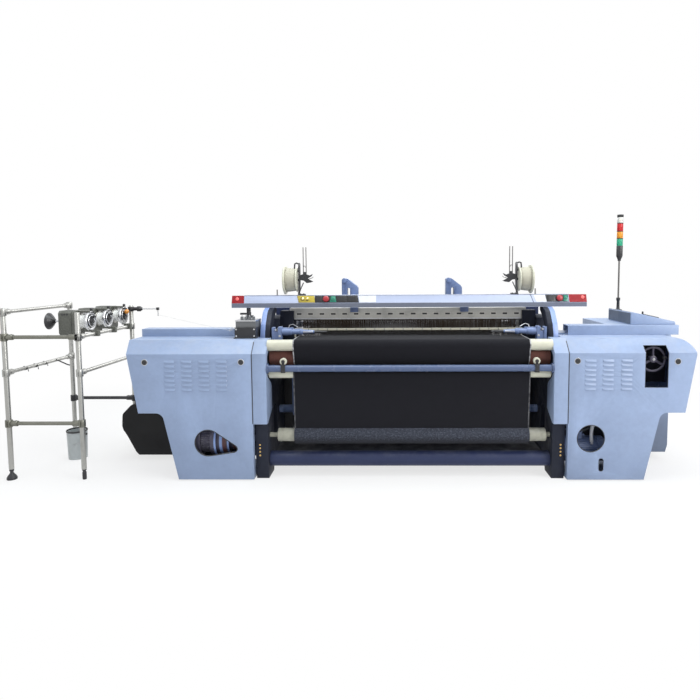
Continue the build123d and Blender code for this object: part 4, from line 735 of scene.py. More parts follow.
def make_finishes(colours):
    cover, casting, dark = tuple(colours.cover), tuple(colours.casting), tuple(colours.frame)
    # Covers and cabinet grow darker towards the floor as painted shade, the cabinet much more than the
    # covers.
    for key, name, shade in (("cover", "Cover powder coat", (0.0, 0.75, 0.82)),
                             ("cabinet", "Cabinet powder coat", (0.30, 1.0, 0.42))):
        M[key] = paint(name, cover, 0.40, 0.12, 0.30, 0.30, peel=0.16, shade=shade)
    M["casting"] = paint("Casting paint", casting, 0.38, 0.14, 0.28, 0.55, peel=0.10)
    # Paler casting paint: painted light on the console brackets' outer part; the pulley's bands also take it.
    M["pale_casting"] = paint("Pale casting paint", mix_over(casting, 1.7), 0.36, 0.12, 0.22, 0.5)
    M["frame"] = paint("Side frame paint", dark, 0.55, 0.25, 0.12, 0.3, peel=0.2, gloss=0.2)
    M["front_tube"] = paint("Front tube paint", (0.020, 0.029, 0.080), 0.40, 0.12, 0.08, 0.12, gloss=0.3)
    M["console"] = paint("Console powder coat", tuple(colours.console), 0.34, 0.07, 0.18, 0.25)
    # Console paint darkened: painted shade on the console's lip, also the colour of its dark trim lines.
    M["lip"] = paint("Shaded lip", mix_over(tuple(colours.console), 0.30), 0.4, 0.08, 0.15, 0.3)
    M["hood_side"] = paint("Shaded side of the hood", (0.085, 0.11, 0.16), 0.5, 0.12, 0.1, 0.2, gloss=0.2)
    M["white"] = paint("White plate", (0.78, 0.79, 0.82), 0.3, 0.05, 0.12, 0.2)
    M["cream"] = paint("Cream paint", tuple(colours.cream), 0.36, 0.14, 0.25, 0.5)
    M["worn_cream"] = paint("Worn cream paint", mix_over(tuple(colours.cream), 0.62), 0.5, 0.3, 0.35, 0.6)
    M["black"] = paint("Black paint", (0.014, 0.014, 0.017), 0.42, 0.3, 0.22, 0.35, (0.20, 0.20, 0.21, 1))
    M["black_cover"] = paint("Black cover paint", (0.007, 0.007, 0.008), 0.5, 0.08, 0.02, 0.2, gloss=0.22)
    # Unlit inside: painted shade, used on the dark plates behind the covers' openings, the vent holes and the
    # tray under the machine.
    M["inside"] = paint("Unlit inside of a cover", (0.020, 0.021, 0.030), 0.7, 0.3, 0.15, 0.0)
    M["iron"] = paint("Painted iron", (0.055, 0.05, 0.085), 0.5, 0.35, 0.3, 0.6)
    M["wine"] = paint("Red-brown primer", (0.10, 0.035, 0.035), 0.55, 0.35, 0.3, 0.5)
    M["black_plastic"] = plastic("Black plastic", (0.016, 0.016, 0.018), 0.38, 0.2)
    M["red"] = plastic("Red plastic", (0.36, 0.012, 0.022), 0.32, 0.08, 0.2)
    M["green"] = plastic("Green plastic", (0.012, 0.20, 0.13), 0.32, 0.08, 0.2)
    M["yellow"] = plastic("Yellow plastic", (0.50, 0.39, 0.045), 0.30, 0.12, 0.3)
    M["grey_plastic"] = plastic("Grey plastic", (0.14, 0.145, 0.15), 0.42, 0.3)
    M["olive"] = plastic("Feeder moulding", (0.085, 0.088, 0.072), 0.40, 0.25)
    M["pail"] = plastic("Pail plastic", (0.44, 0.47, 0.47), 0.36, 0.3)
    M["amber"] = plastic("Amber plastic", (0.70, 0.26, 0.02), 0.22, 0.1, 0.5)
    M["rubber"] = plastic("Rubber", (0.02, 0.02, 0.021), 0.75, 0.4, 0.0, 0.2)
    M["steel"] = metal("Ground steel", (0.60, 0.61, 0.63), 0.26)
    M["zinc"] = metal("Zinc plate", (0.48, 0.49, 0.50), 0.36, 0.25, (60.0, 60.0, 60.0))
    M["dark_steel"] = metal("Blued steel", (0.16, 0.155, 0.15), 0.38, 0.2)
    M["brass"] = metal("Brass", (0.62, 0.43, 0.17), 0.32, 0.1, (60.0, 60.0, 60.0))
    M["aluminium"] = metal("Drawn aluminium", (0.56, 0.55, 0.51), 0.34, 0.25)
    M["stave"] = metal("Anodised stave", (0.43, 0.425, 0.40), 0.46, 0.15, (5.0, 500.0, 500.0), 0.2)
    M["tube"] = metal("Stand tube", (0.42, 0.42, 0.40), 0.38, 0.25, (200.0, 200.0, 8.0))
    M["olive_tube"] = metal("Olive tube", (0.20, 0.20, 0.17), 0.4, 0.2, (8.0, 200.0, 200.0))
    M["heald"] = metal("Heald strip", (0.058, 0.045, 0.035), 0.45, 0.05)
    M["dent"] = metal("Reed blade", (0.075, 0.072, 0.065), 0.4, 0.0)
    M["baulk"] = paint("Reed baulk", (0.52, 0.50, 0.40), 0.4, 0.12, 0.2, 0.3)
    M["rail"] = paint("Rail paint", mix_over(casting, 0.56), 0.22, 0.04, 0.06, 0.12)
    M["wound"] = plastic("Wound leno yarn", (0.44, 0.42, 0.34), 0.85, 0.1, 0.0, 0.4)
    M["emery"] = grit_finish("Emery covering", (0.115, 0.045, 0.036), (0.25, 0.14, 0.10))
    M["red_lens"] = lens_finish("Red lens", (0.50, 0.012, 0.018), 0.10)
    M["red_glass"] = lens_finish("Red glass of the end lamps", (0.34, 0.008, 0.014), 0.0, 0.05)
    M["amber_lens"] = lens_finish("Amber lens", (0.75, 0.30, 0.02), 0.05)
    M["green_lens"] = lens_finish("Green lens", (0.02, 0.36, 0.21), 0.05)
    M["clear_lens"] = lens_finish("Clear lens", (0.72, 0.72, 0.70), 0.0)
    M["bulb"] = lens_finish("Bulb", (0.95, 0.78, 0.42), 0.8, 0.0)
    # A faint glow on domes over the end lamps: painted highlights, the bright spots on their lenses.
    M["red_highlight_glow"] = lens_finish("Red highlight glow", (0.80, 0.15, 0.14), 0.3, 0.0)
    M["socket"] = plastic("Bulb socket", (0.085, 0.055, 0.006), 0.4, 0.05)
    cloth = tuple(colours.cloth)
    pitch = bpy.context.scene.loom_sizes.cloth_pitch
    M["cloth"] = cloth_finish("Twill cloth", cloth, mix_over(cloth, 2.0), pitch,
                              selvedge=(CLOTH_HALF * MM, 0.007, (0.50, 0.50, 0.52)))
    # The wound cloth's underside takes painted shade (under).
    M["roll"] = cloth_finish("Wound cloth", mix_over(cloth, 2.0), tuple(colours.roll), pitch * 1.6, -1.0,
                             streak=0.2, lint=0.5, under=0.9)
    M["roll_end"] = yarn_finish("Ends of the wound cloth", (0.16, 0.17, 0.20), (0.55, 0.56, 0.60), 0.0016)
    M["warp"] = yarn_finish("Warp yarns", mix_over(cloth, 1.2), mix_over(cloth, 4.0), fuzz=0.1)
    M["end"] = plastic("Single warp yarn", mix_over(cloth, 2.6), 0.85, 0.1, 0.0, 0.3)
    M["yarn"] = plastic("Weft yarn", (0.80, 0.80, 0.78), 0.85, 0.0, 0.0, 0.5)


NODE_FINISH = {"warp_stop_motion": "dark_steel", "rapier_left": "steel", "rapier_right": "steel"}
SOFTENED = {
    "side_frame_left": ("frame", 2.5), "side_frame_right": ("frame", 2.5), "sley": ("casting", 2.0),
    "inner_covers": ("cover", 0.9), "rapier_box_left": ("cover", 1.2), "rapier_box_right": ("cover", 1.2),
    "left_drive_cover": ("black_cover", 1.0), "right_rear_cabinet": ("cabinet", 2.5),
    "control_hood": ("cover", 4.0), "console_beam": ("console", 0.9), "lamp_panel": ("yellow", 0.5),
    "menu_button": ("black_plastic", 1.0), "left_stop_button": ("red", 1.2),
    "left_start_button": ("green", 1.0), "left_forward_button": ("black_plastic", 1.0),
    "left_reverse_button": ("black_plastic", 1.0), "right_reverse_button": ("black_plastic", 1.0),
    "right_stop_button": ("red", 1.2), "right_start_button": ("green", 1.0),
}
LOCK_SINK = 2.2              # how far the covers' plain locks are set back under the ones drawn here
GUIDE_POST_NEAR = 850.0      # the dark posts that guide the healds stand further out than this
BRACKET_SHADE_EDGE = 1052.0           # how far from the loom's centre the console brackets turn from dark painted shade to pale painted light


class LOOM_OT_finishes(bpy.types.Operator):
    """Make every finish, dress the plain nodes and round the edges of the rigid ones"""

    bl_idname = "loom.finishes"
    bl_label = "Finishes"

    def execute(self, context):
        make_finishes(context.scene.loom_colours)
        for node, finish in NODE_FINISH.items():
            for slot in frame["nodes"][node].material_slots:
                slot.material = M[finish]
        for node, (finish, bevel) in SOFTENED.items():
            soften(node, finish, bevel)
        for node in ("left_front_cover", "right_front_cover"):
            soften(node, "cover", 0.7, sink=LOCK_SINK)
        soften("heald_guides", "casting", 2.0, second="frame",
               chosen=lambda u: abs(u) > GUIDE_POST_NEAR)
        # The brackets take the dark frame paint as painted shade on their inner part and the paler casting
        # paint as painted light on their outer part.
        soften("console_brackets", "pale_casting", 3.0, second="frame", cuts=(-BRACKET_SHADE_EDGE, BRACKET_SHADE_EDGE),
               chosen=lambda u: abs(u) < BRACKET_SHADE_EDGE)
        return {"FINISHED"}


# Stage: floor, lamps and the camera at the photograph's viewing angle
EYE = Vector((0.3267, -4.654, 1.4694))
VIEW_PITCH = radians(4.383)
VIEW_YAW = radians(0.851)
VIEW_ROLL = radians(-0.292)
LENS = 28.286
SHIFT = (-0.0499, -0.0526)
PALE = 0.86
FLOOR_REACH = 30.0
SHADOW_HALF = (2.5, 1.1)     # half the floor round the object that keeps its shadow
SHADOW_FADE = 1.6
SHADOW_VEIL = 0.72


def soft_lamp(name, at, target, size, power, colour=(1.0, 1.0, 1.0)):
    data = bpy.data.lights.new(name, "AREA")
    data.shape = "RECTANGLE"
    (data.size, data.size_y) = size
    data.energy = power
    data.color = colour
    lamp = add_object(name, data)
    lamp.location = at
    lamp.rotation_euler = (Vector(target) - Vector(at)).to_track_quat("-Z", "Y").to_euler()


def seen_rays(n):
    """1 where the camera looks, straight on or through glass and gloss, and 0 for the light itself."""
    ray = n.add("ShaderNodeLightPath").outputs
    return n.math("MAXIMUM", ray["Is Camera Ray"],
                  n.math("MAXIMUM", ray["Is Transmission Ray"], ray["Is Glossy Ray"]))


def pale_world():
    world = bpy.data.worlds.new("Studio")
    bpy.context.scene.world = world
    world.use_nodes = True
    n = Nodes(world.node_tree)
    world.node_tree.nodes.clear()
    seen = seen_rays(n)
    soft = n.add("ShaderNodeBackground", {"Color": (0.93, 0.95, 1.0, 1.0), "Strength": 0.54})
    bright = n.add("ShaderNodeBackground", {"Color": (1.0, 1.0, 1.0, 1.0), "Strength": 1.0})
    both = n.add("ShaderNodeMixShader", {0: seen, 1: soft.outputs[0], 2: bright.outputs[0]})
    out = n.add("ShaderNodeOutputWorld")
    world.node_tree.links.new(both.outputs[0], out.inputs[0])


def pale_floor():
    corners = ((-FLOOR_REACH, -FLOOR_REACH), (FLOOR_REACH, -FLOOR_REACH), (FLOOR_REACH, FLOOR_REACH),
               (-FLOOR_REACH, FLOOR_REACH))
    mesh = bpy.data.meshes.new("floor")
    mesh.from_pydata([(x, y, 0.0) for x, y in corners], [], [(0, 1, 2, 3)])
    floor = add_object("floor", mesh)
    material = bpy.data.materials.new("Studio floor")
    material.use_nodes = True
    shader = material.node_tree.nodes["Principled BSDF"]
    n = Nodes(material.node_tree)
    where = n.add("ShaderNodeTexCoord").outputs["Object"]
    level = n.ramp(n.noise(where, 0.6, 3.0), 0.2, 0.8, PALE - 0.015, PALE + 0.015)
    grey = n.grey(level)
    material.node_tree.links.new(grey, shader.inputs["Base Color"])
    shader.inputs["Roughness"].default_value = 0.75
    parts = n.parts(where)
    beyond_u = n.math("SUBTRACT", n.math("ABSOLUTE", parts[0]), SHADOW_HALF[0])
    beyond_d = n.math("SUBTRACT", n.math("ABSOLUTE", parts[1]), SHADOW_HALF[1])
    away = n.ramp(n.math("MAXIMUM", beyond_u, beyond_d), 0.0, SHADOW_FADE, SHADOW_VEIL, 1.0)
    seen = seen_rays(n)
    white = n.add("ShaderNodeEmission", {"Color": (1.0, 1.0, 1.0, 1.0), "Strength": 1.0})
    veil = n.add("ShaderNodeMixShader", {0: n.times(away, seen), 1: shader.outputs[0], 2: white.outputs[0]})
    out = next(node for node in material.node_tree.nodes if node.bl_idname == "ShaderNodeOutputMaterial")
    material.node_tree.links.new(veil.outputs[0], out.inputs[0])
    mesh.materials.append(material)


def camera():
    data = bpy.data.cameras.new("View")
    data.lens = LENS
    data.sensor_width = 36.0
    (data.shift_x, data.shift_y) = SHIFT
    level = cos(VIEW_PITCH)
    ahead = Vector((-sin(VIEW_YAW) * level, cos(VIEW_YAW) * level, -sin(VIEW_PITCH)))
    right = Vector((cos(VIEW_YAW), sin(VIEW_YAW), 0.0))
    up = right.cross(ahead)
    turned_right = right * cos(VIEW_ROLL) + up * sin(VIEW_ROLL)
    turned_up = up * cos(VIEW_ROLL) - right * sin(VIEW_ROLL)
    rows = Matrix((turned_right, turned_up, -ahead)).transposed().to_4x4()
    view = add_object("View", data)
    view.matrix_world = Matrix.Translation(EYE) @ rows
    bpy.context.scene.camera = view


class LOOM_OT_stage(bpy.types.Operator):
    """Lay the pale floor, hang the soft lamps and set the camera"""

    bl_idname = "loom.stage"
    bl_label = "Stage"

    def execute(self, context):
        context.scene.view_settings.view_transform = "Standard"
        pale_world()
        pale_floor()
        camera()
        soft_lamp("top", (0.4, -0.9, 4.6), (0.3, -0.2, 0.6), (6.0, 3.0), 205.0, (0.94, 1.0, 1.0))
        soft_lamp("key", (4.8, -4.0, 3.4), (0.6, 0.0, 0.7), (2.6, 2.6), 180.0, (1.0, 0.99, 0.97))
        soft_lamp("fill", (-4.0, -4.6, 2.6), (0.0, 0.0, 0.7), (3.0, 2.4), 14.0, (0.95, 0.97, 1.0))
        soft_lamp("back", (0.5, 4.5, 3.6), (0.4, 0.2, 0.8), (4.0, 2.0), 90.0)
        return {"FINISHED"}


# Cloth, yarns and rollers, with the frame's sizes in the loom's millimetres
CLOTH_MIDDLE = 14.0
CLOTH_HALF = 832.0
FELL = (309.5, 990.9)
BREAST = (85.0, 950.0, 40.0)
EMERY = (132.0, 860.0, 58.0)
PRESS = (214.52, 829.96, 28.0)
GUIDE = (90.0, 752.0, 36.0)
ROLL = (112.0, 300.0, 64.0)
ROLL_CORE = 47.0
ROLL_MEET = radians(60)      # how far above the roll's front the cloth comes to lie on it
LIE = 0.9                    # how far the middle of the cloth lies off a roller
WARP_LIE = 1.1               # the same for the warp
CLOTH_THICK = 1.1
WARP_THICK = 1.4
YARN_HALF = 0.55             # half of the drawn thickness of one warp end
ROLL_TOUCH = (ROLL[0] - (ROLL[2] + LIE) * cos(ROLL_MEET), ROLL[1] + (ROLL[2] + LIE) * sin(ROLL_MEET))
CORE_OUT = 122               # how far the roll's core stands out beside the cloth
BEAM = (1396.0, 430.0, 300.0)
BEAM_END = 978.0
BACK_REST = (1500.0, 985.0, 50.0)
WARP_END = (668.0, 991.1)
FRAME_IN = 1000.0
ROLLER_HALF = 992.0
JOURNAL_END = FRAME_IN + 26
JOURNAL = 17.0
HEDDLE_D = (566.0, 586.0, 606.0, 626.0)
SHEET_SHARP = radians(50)
WOUND_SHARP = radians(60)
WOUND_SIDES = 96
WOUND_STEPS = 24


def wrap(stops, step=14.0, arc=radians(7.5)):
    """Points (d, z, straight) of a sheet led round circles (d, z, r, turn); straight is 0 on a circle."""
    touch = []
    for (d0, z0, r0, t0), (d1, z1, r1, t1) in zip(stops, stops[1:]):
        angle = atan2(z1 - z0, d1 - d0) - acos((r0 * t0 - r1 * t1) / hypot(d1 - d0, z1 - z0))
        (x, y) = (cos(angle), sin(angle))
        touch.append(((d0 + r0 * t0 * x, z0 + r0 * t0 * y), (d1 + r1 * t1 * x, z1 + r1 * t1 * y)))
    points = []
    for k, (leave, arrive) in enumerate(touch):
        count = max(2, round(hypot(arrive[0] - leave[0], arrive[1] - leave[1]) / step))
        for n in range(count + 1):
            share = n / count
            points.append((leave[0] + (arrive[0] - leave[0]) * share,
                           leave[1] + (arrive[1] - leave[1]) * share, sin(pi * share)))
        if k + 1 < len(touch):
            (d, z, r, turn) = stops[k + 1]
            first = atan2(arrive[1] - z, arrive[0] - d)
            last = atan2(touch[k + 1][0][1] - z, touch[k + 1][0][0] - d)
            whole = (last - first) * turn % (2 * pi) * turn
            count = max(1, round(abs(whole) / arc))
            for n in range(1, count):
                angle = first + whole * n / count
                points.append((d + r * cos(angle), z + r * sin(angle), 0.0))
    return points


def over(roller, lift, turn=1):
    """A stop of wrap: a roller, with the middle of the sheet lifted off it."""
    (d, z, r) = roller
    return (d, z, r + lift, turn)


def ribbon(name, points, thick, stands_for, columns=72, ripple=0.0):
    """A thin closed sheet along points, with its flat size kept in the UV map "Cloth".

    The piece's name is also that of its finish.
    """
    bm = bmesh.new()
    layer = bm.loops.layers.uv.new("Cloth")
    lengths = [0.0]
    for (d0, z0, _), (d1, z1, _) in zip(points, points[1:]):
        lengths.append(lengths[-1] + hypot(d1 - d0, z1 - z0))
    sides = []
    for face_side in (1, -1):
        rows = []
        for k, (d, z, loose) in enumerate(points):
            before = points[max(k - 1, 0)]
            after = points[min(k + 1, len(points) - 1)]
            along = Vector((after[0] - before[0], after[1] - before[1])).normalized()
            row = []
            for c in range(columns + 1):
                u = CLOTH_MIDDLE + CLOTH_HALF * (2.0 * c / columns - 1.0)
                waves = sin(u * 0.021 + 3.0) + 0.6 * sin(u * 0.0083 + lengths[k] * 0.013)
                off = face_side * thick / 2 + ripple * loose * waves
                row.append(bm.verts.new(place(u, d - along.y * off, z + along.x * off)))
            rows.append(row)
        sides.append(rows)
    (top, under) = sides

    def quad(corners, stops):
        face = bm.faces.new(corners)
        face.smooth = True
        for loop, (c, k) in zip(face.loops, stops):
            loop[layer].uv = (CLOTH_HALF * MM * (2.0 * c / columns - 1.0), lengths[k] * MM)

    for k in range(len(points) - 1):
        for c in range(columns):
            stops = ((c, k), (c + 1, k), (c + 1, k + 1), (c, k + 1))
            quad([top[j][i] for i, j in stops], stops)
            quad([under[j][i] for i, j in reversed(stops)], tuple(reversed(stops)))
        for c in (0, columns):
            stops = ((c, k), (c, k), (c, k + 1), (c, k + 1))
            quad((top[k][c], under[k][c], under[k + 1][c], top[k + 1][c]), stops)
    for k in (0, len(points) - 1):
        for c in range(columns):
            stops = ((c, k), (c + 1, k), (c + 1, k), (c, k))
            quad((top[k][c], top[k][c + 1], under[k][c + 1], under[k][c]), stops)
    bmesh.ops.recalc_face_normals(bm, faces=bm.faces[:])
    obj = add_mesh(name, bm, name)
    obj.data.set_sharp_from_angle(angle=SHEET_SHARP)
    settle(obj, "root", stands_for)


def wound(name, body, finishes, axis, core, r, span, spiral, stands_for):
    """A wound package: a ribboned outside with its own UV map, and layered ends between two radii."""
    bm = bmesh.new()
    layer = bm.loops.layers.uv.new("Cloth")
    (d, z) = axis

    def ring(u, radius):
        return [bm.verts.new(place(u, a, b)) for a, b in circle(d, z, radius, WOUND_SIDES)]

    def band(first, second, place_uv, material):
        for k in range(WOUND_SIDES):
            n = (k + 1) % WOUND_SIDES
            face = bm.faces.new((first[k], first[n], second[n], second[k]))
            face.smooth = True
            face.material_index = material
            for loop, (row, turn) in zip(face.loops, ((0, k), (0, k + 1), (1, k + 1), (1, k))):
                loop[layer].uv = place_uv(row, turn)

    def outside(u0, u1):
        return lambda row, turn: ((u1 if row else u0) * MM, 2 * pi * r * MM * turn / WOUND_SIDES)

    def end(from_radius, to_radius):
        return lambda row, turn: ((to_radius if row else from_radius) * MM, turn * 0.01)

    rings = []
    for k in range(WOUND_STEPS + 1):
        u = span[0] + (span[1] - span[0]) * k / WOUND_STEPS
        rings.append((u, ring(u, r + 0.35 * sin(k * 2.1) * (0 < k < WOUND_STEPS))))
    for (u0, first), (u1, second) in zip(rings, rings[1:]):
        band(first, second, outside(u0, u1), 0)
    for (u, edge), out in ((rings[0], -1), (rings[-1], 1)):
        inner = ring(u, core)
        (radius, fold) = (r, edge)
        for k in range(1, spiral):
            smaller = r + (core - r) * k / spiral
            step = ring(u - out * (1.1 if k % 2 else 0.0), smaller)
            band(fold, step, end(radius, smaller), 1)
            (radius, fold) = (smaller, step)
        band(fold, inner, end(radius, core), 1)
    bmesh.ops.recalc_face_normals(bm, faces=bm.faces[:])
    obj = add_mesh(name, bm, *finishes)
    obj.data.set_sharp_from_angle(angle=WOUND_SHARP)
    settle(obj, body, stands_for)


class LOOM_OT_cloth(bpy.types.Operator):
    """Weave the cloth round its rollers, wind the roll and lay the warp from the beam to the healds"""

    bl_idname = "loom.cloth"
    bl_label = "Cloth and warp"

    def execute(self, context):
        path = wrap(((*FELL, 0.0, 1), over(BREAST, LIE), over(EMERY, LIE), over(PRESS, LIE, -1),
                     over(GUIDE, LIE), (*ROLL_TOUCH, 0.0, 1)))
        ribbon("cloth", path, CLOTH_THICK, "woven_cloth",
               ripple=context.scene.loom_sizes.ripple / MM)
        span = (CLOTH_MIDDLE - CLOTH_HALF, CLOTH_MIDDLE + CLOTH_HALF)
        wound("cloth_roll", "cloth_roll", ("roll", "roll_end"), ROLL[:2], ROLL_CORE, ROLL[2],
              span, 9, "cloth_roll_fabric")
        path = wrap((over(BEAM, WARP_LIE), over(BACK_REST, WARP_LIE), (*WARP_END, 0.0, 1)), step=40.0)
        ribbon("warp", path, WARP_THICK, "warp_sheet", columns=36)
        return {"FINISHED"}


def shed_half(name, eyes, ends, first):
    """Warp ends from the fell through the healds of one body's frames to the back of the shed."""
    for part, (start, stop) in (("front", ((FELL[0] + 1.0, FELL[1]), None)), ("rear", (None, WARP_END))):
        shape = Shape()
        for k in range(ends):
            share = (k + 0.5 * first) / ends
            u = CLOTH_MIDDLE + (CLOTH_HALF - 6.0) * (2.0 * share - 1.0)
            eye = (eyes[k % len(eyes)], FELL[1])
            corners = []
            for d, z in (start or eye, stop or eye):
                for du, dz in ((-YARN_HALF, 0.0), (0.0, YARN_HALF), (YARN_HALF, 0.0), (0.0, -YARN_HALF)):
                    corners.append(place(u + du, d, z + dz))
            faces = [(n, (n + 1) % 4, 4 + (n + 1) % 4, 4 + n) for n in range(4)]
            shape.mesh(corners, faces + [(3, 2, 1, 0), (4, 5, 6, 7)])
        obj = add_mesh(f"{name}_{part}", shape.bm, "end")
        if part == "front":
            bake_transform(obj)
        else:
            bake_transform(obj)


class LOOM_OT_shed(bpy.types.Operator):
    """Draw the single warp ends of the shed through the healds"""

    bl_idname = "loom.shed"
    bl_label = "Shed yarns"

    def execute(self, context):
        ends = context.scene.loom_sizes.ends
        shed_half("odd_ends", HEDDLE_D[::2], ends, 0)
        shed_half("even_ends", HEDDLE_D[1::2], ends, 1)
        return {"FINISHED"}


def turned_roller(name, node, body, slot, finish, roller):
    """A smooth roller with a chamfer, a shoulder and a journal at each end, for a CAD roller."""
    (d, z, r) = roller
    shape = Shape()
    ends = [(-JOURNAL_END, 0), (-JOURNAL_END, JOURNAL), (-ROLLER_HALF, JOURNAL), (-ROLLER_HALF, r - 2.5),
            (-ROLLER_HALF + 2.5, r)]
    shape.lathe((0, d, z), ends + outward(-1, ends[::-1]), "u", 72)
    shape.piece(name, body, slot, finish, node)


class LOOM_OT_rollers(bpy.types.Operator):
    """Turn the breast bar, the rollers, the roll's core and the warp beam"""

    bl_idname = "loom.rollers"
    bl_label = "Rollers"

    def execute(self, context):
        (d, z, r) = BREAST
        breast = Shape()
        stops = ((-FRAME_IN, 0), (-FRAME_IN, r - 1.5), (-FRAME_IN + 1.5, r))
        breast.lathe((0, d, z), [*stops, *outward(-1, stops[::-1])], "u", 72)
        breast.piece("breast", "root", "cream_paint", "cream", "breast_bar")
        for name, node, body, slot, finish, roller in (
                ("emery", "emery_roller", "emery_roller", "emery_cover", "emery", EMERY),
                ("press", "press_roller", "press_roller", "bright_steel", "steel", PRESS),
                ("guide", "guide_roller", "guide_roller", "cream_paint", "cream", GUIDE),
                ("back_rest", "back_rest_roller", "back_rest", "bright_steel", "steel", BACK_REST)):
            turned_roller(name, node, body, slot, finish, roller)
        self.core()
        self.beam()
        return {"FINISHED"}

    def core(self):
        core = Shape()
        (d, z) = ROLL[:2]
        (left, right) = (CLOTH_MIDDLE - CLOTH_HALF - CORE_OUT, CLOTH_MIDDLE + CLOTH_HALF + CORE_OUT)
        r = ROLL_CORE
        ends = ((0, JOURNAL), (0, r - 3), (3, r), (34, r), (34, r - 2.5), (40, r - 2.5), (40, r))
        stops = [(-JOURNAL_END, 0), (-JOURNAL_END, JOURNAL)]
        stops += [(left + s, radius) for s, radius in ends]
        stops += [(right - s, radius) for s, radius in reversed(ends)]
        core.lathe((0, d, z), stops + [(JOURNAL_END, JOURNAL), (JOURNAL_END, 0)], "u", 72)
        for u in (left + 17, right - 17):
            for angle in (0.4, 2.5, 4.6):
                core.bar(*[(u, d + reach * cos(angle), z + reach * sin(angle)) for reach in (r, r + 0.3)], 4)
        core.piece("roll_core", "cloth_roll", "cream_paint", "worn_cream", "cloth_roll_core")

    def beam(self):
        beam = Shape()
        (d, z, wound_r) = BEAM
        near = CLOTH_MIDDLE - CLOTH_HALF
        far = CLOTH_MIDDLE + CLOTH_HALF
        for inner, out in ((near, -1), (far, 1)):
            end = out * BEAM_END
            flange = ((0, 120), (0, 397), (3, 400), (21, 400), (24, 397), (24, 380), (14, 372), (14, 110),
                      (24, 100), (24, 70))
            stops = [(inner + out * s, r) for s, r in flange]
            stops += [(end, 70), (end, 30), (out * JOURNAL_END, 30), (out * JOURNAL_END, 0)]
            beam.lathe((0, d, z), stops, "u", 96)
            for k in range(8):
                angle = pi * k / 4
                (c, s) = (cos(angle), sin(angle))
                outline = [(d + r * c - half * s, z + r * s + half * c)
                           for r, half in ((96.0, -6.0), (96.0, 6.0), (376.0, 6.0), (376.0, -6.0))]
                beam.prism(outline, sorted((inner + out * 13, inner + out * 22)), "u")
        beam.piece("beam_flanges", "warp_beam", "iron_paint", "casting", "warp_beam")
        wound("beam_warp", "warp_beam", ("warp", "warp"), (d, z), 118.0, wound_r,
              (near + 0.5, far - 0.5), 3, "warp_beam")


# Covers: seams, locks, hinges, and dark plates behind the openings that paint the shade of the insides
COVER_TOP = 991.0
SHOULDER = 901.0
SEAL_U = 1096.0              # the rubber seals where the outer covers meet the inner ones
SEAL_Z = (408, 984, 8)
SEAL_R = 2.8
SEAL_BESIDE = 1.005          # a seal's depth is read this much further out, on the outer cover
LOCKS = ((-1843.0, 844.0), (-1170.0, 844.0), (1154.0, 846.0), (1838.0, 841.0))
ROUND_HOLE = (1256.0, 302.0, 95.0)
SLOT_HOLE = (1330.0, 115.0, 33.0, 92.0)
WINDOW = ((1618.0, 1774.0), (661.0, 946.0))
TEAR = ((-1415.0, 272.0, 93.0), (-1235.0, 231.0, 25.0))
EDGING_D = 1.5               # how far behind the covers' front the middle of a rubber edging lies


def front_of(node, u, z):
    """Where the front of a rigid node lies at a place, in the loom's millimetres behind the covers."""
    mesh = frame["nodes"][node].data
    corners = [vertex.co for vertex in mesh.vertices]
    tree = BVHTree.FromPolygons(corners, [tuple(face.vertices) for face in mesh.polygons])
    hit = tree.ray_cast(place(u, -3000.0, z), Vector((0.0, 1.0, 0.0)))[0]
    if hit is None:
        raise RuntimeError(f"{node} has no front at u {u}, z {z}")
    return (hit - place(0, 0, 0)).y / MM


def hull_outline(first, second, count=24):
    """The outline round two circles (u, z, r)."""
    (u0, z0, r0), (u1, z1, r1) = first, second
    along = atan2(z1 - z0, u1 - u0)
    lean = acos((r0 - r1) / hypot(u1 - u0, z1 - z0))
    points = []
    for u, z, r, start, stop in ((u0, z0, r0, along + lean, along + 2 * pi - lean),
                                 (u1, z1, r1, along - lean, along + lean)):
        for k in range(count + 1):
            angle = start + (stop - start) * k / count
            points.append((u + r * cos(angle), z + r * sin(angle)))
    return points


def edging(shape, outline, r):
    """A rubber edging round an opening in a cover."""
    shape.hoop([(u, EDGING_D, z) for u, z in outline], r, 8, overlap=2)


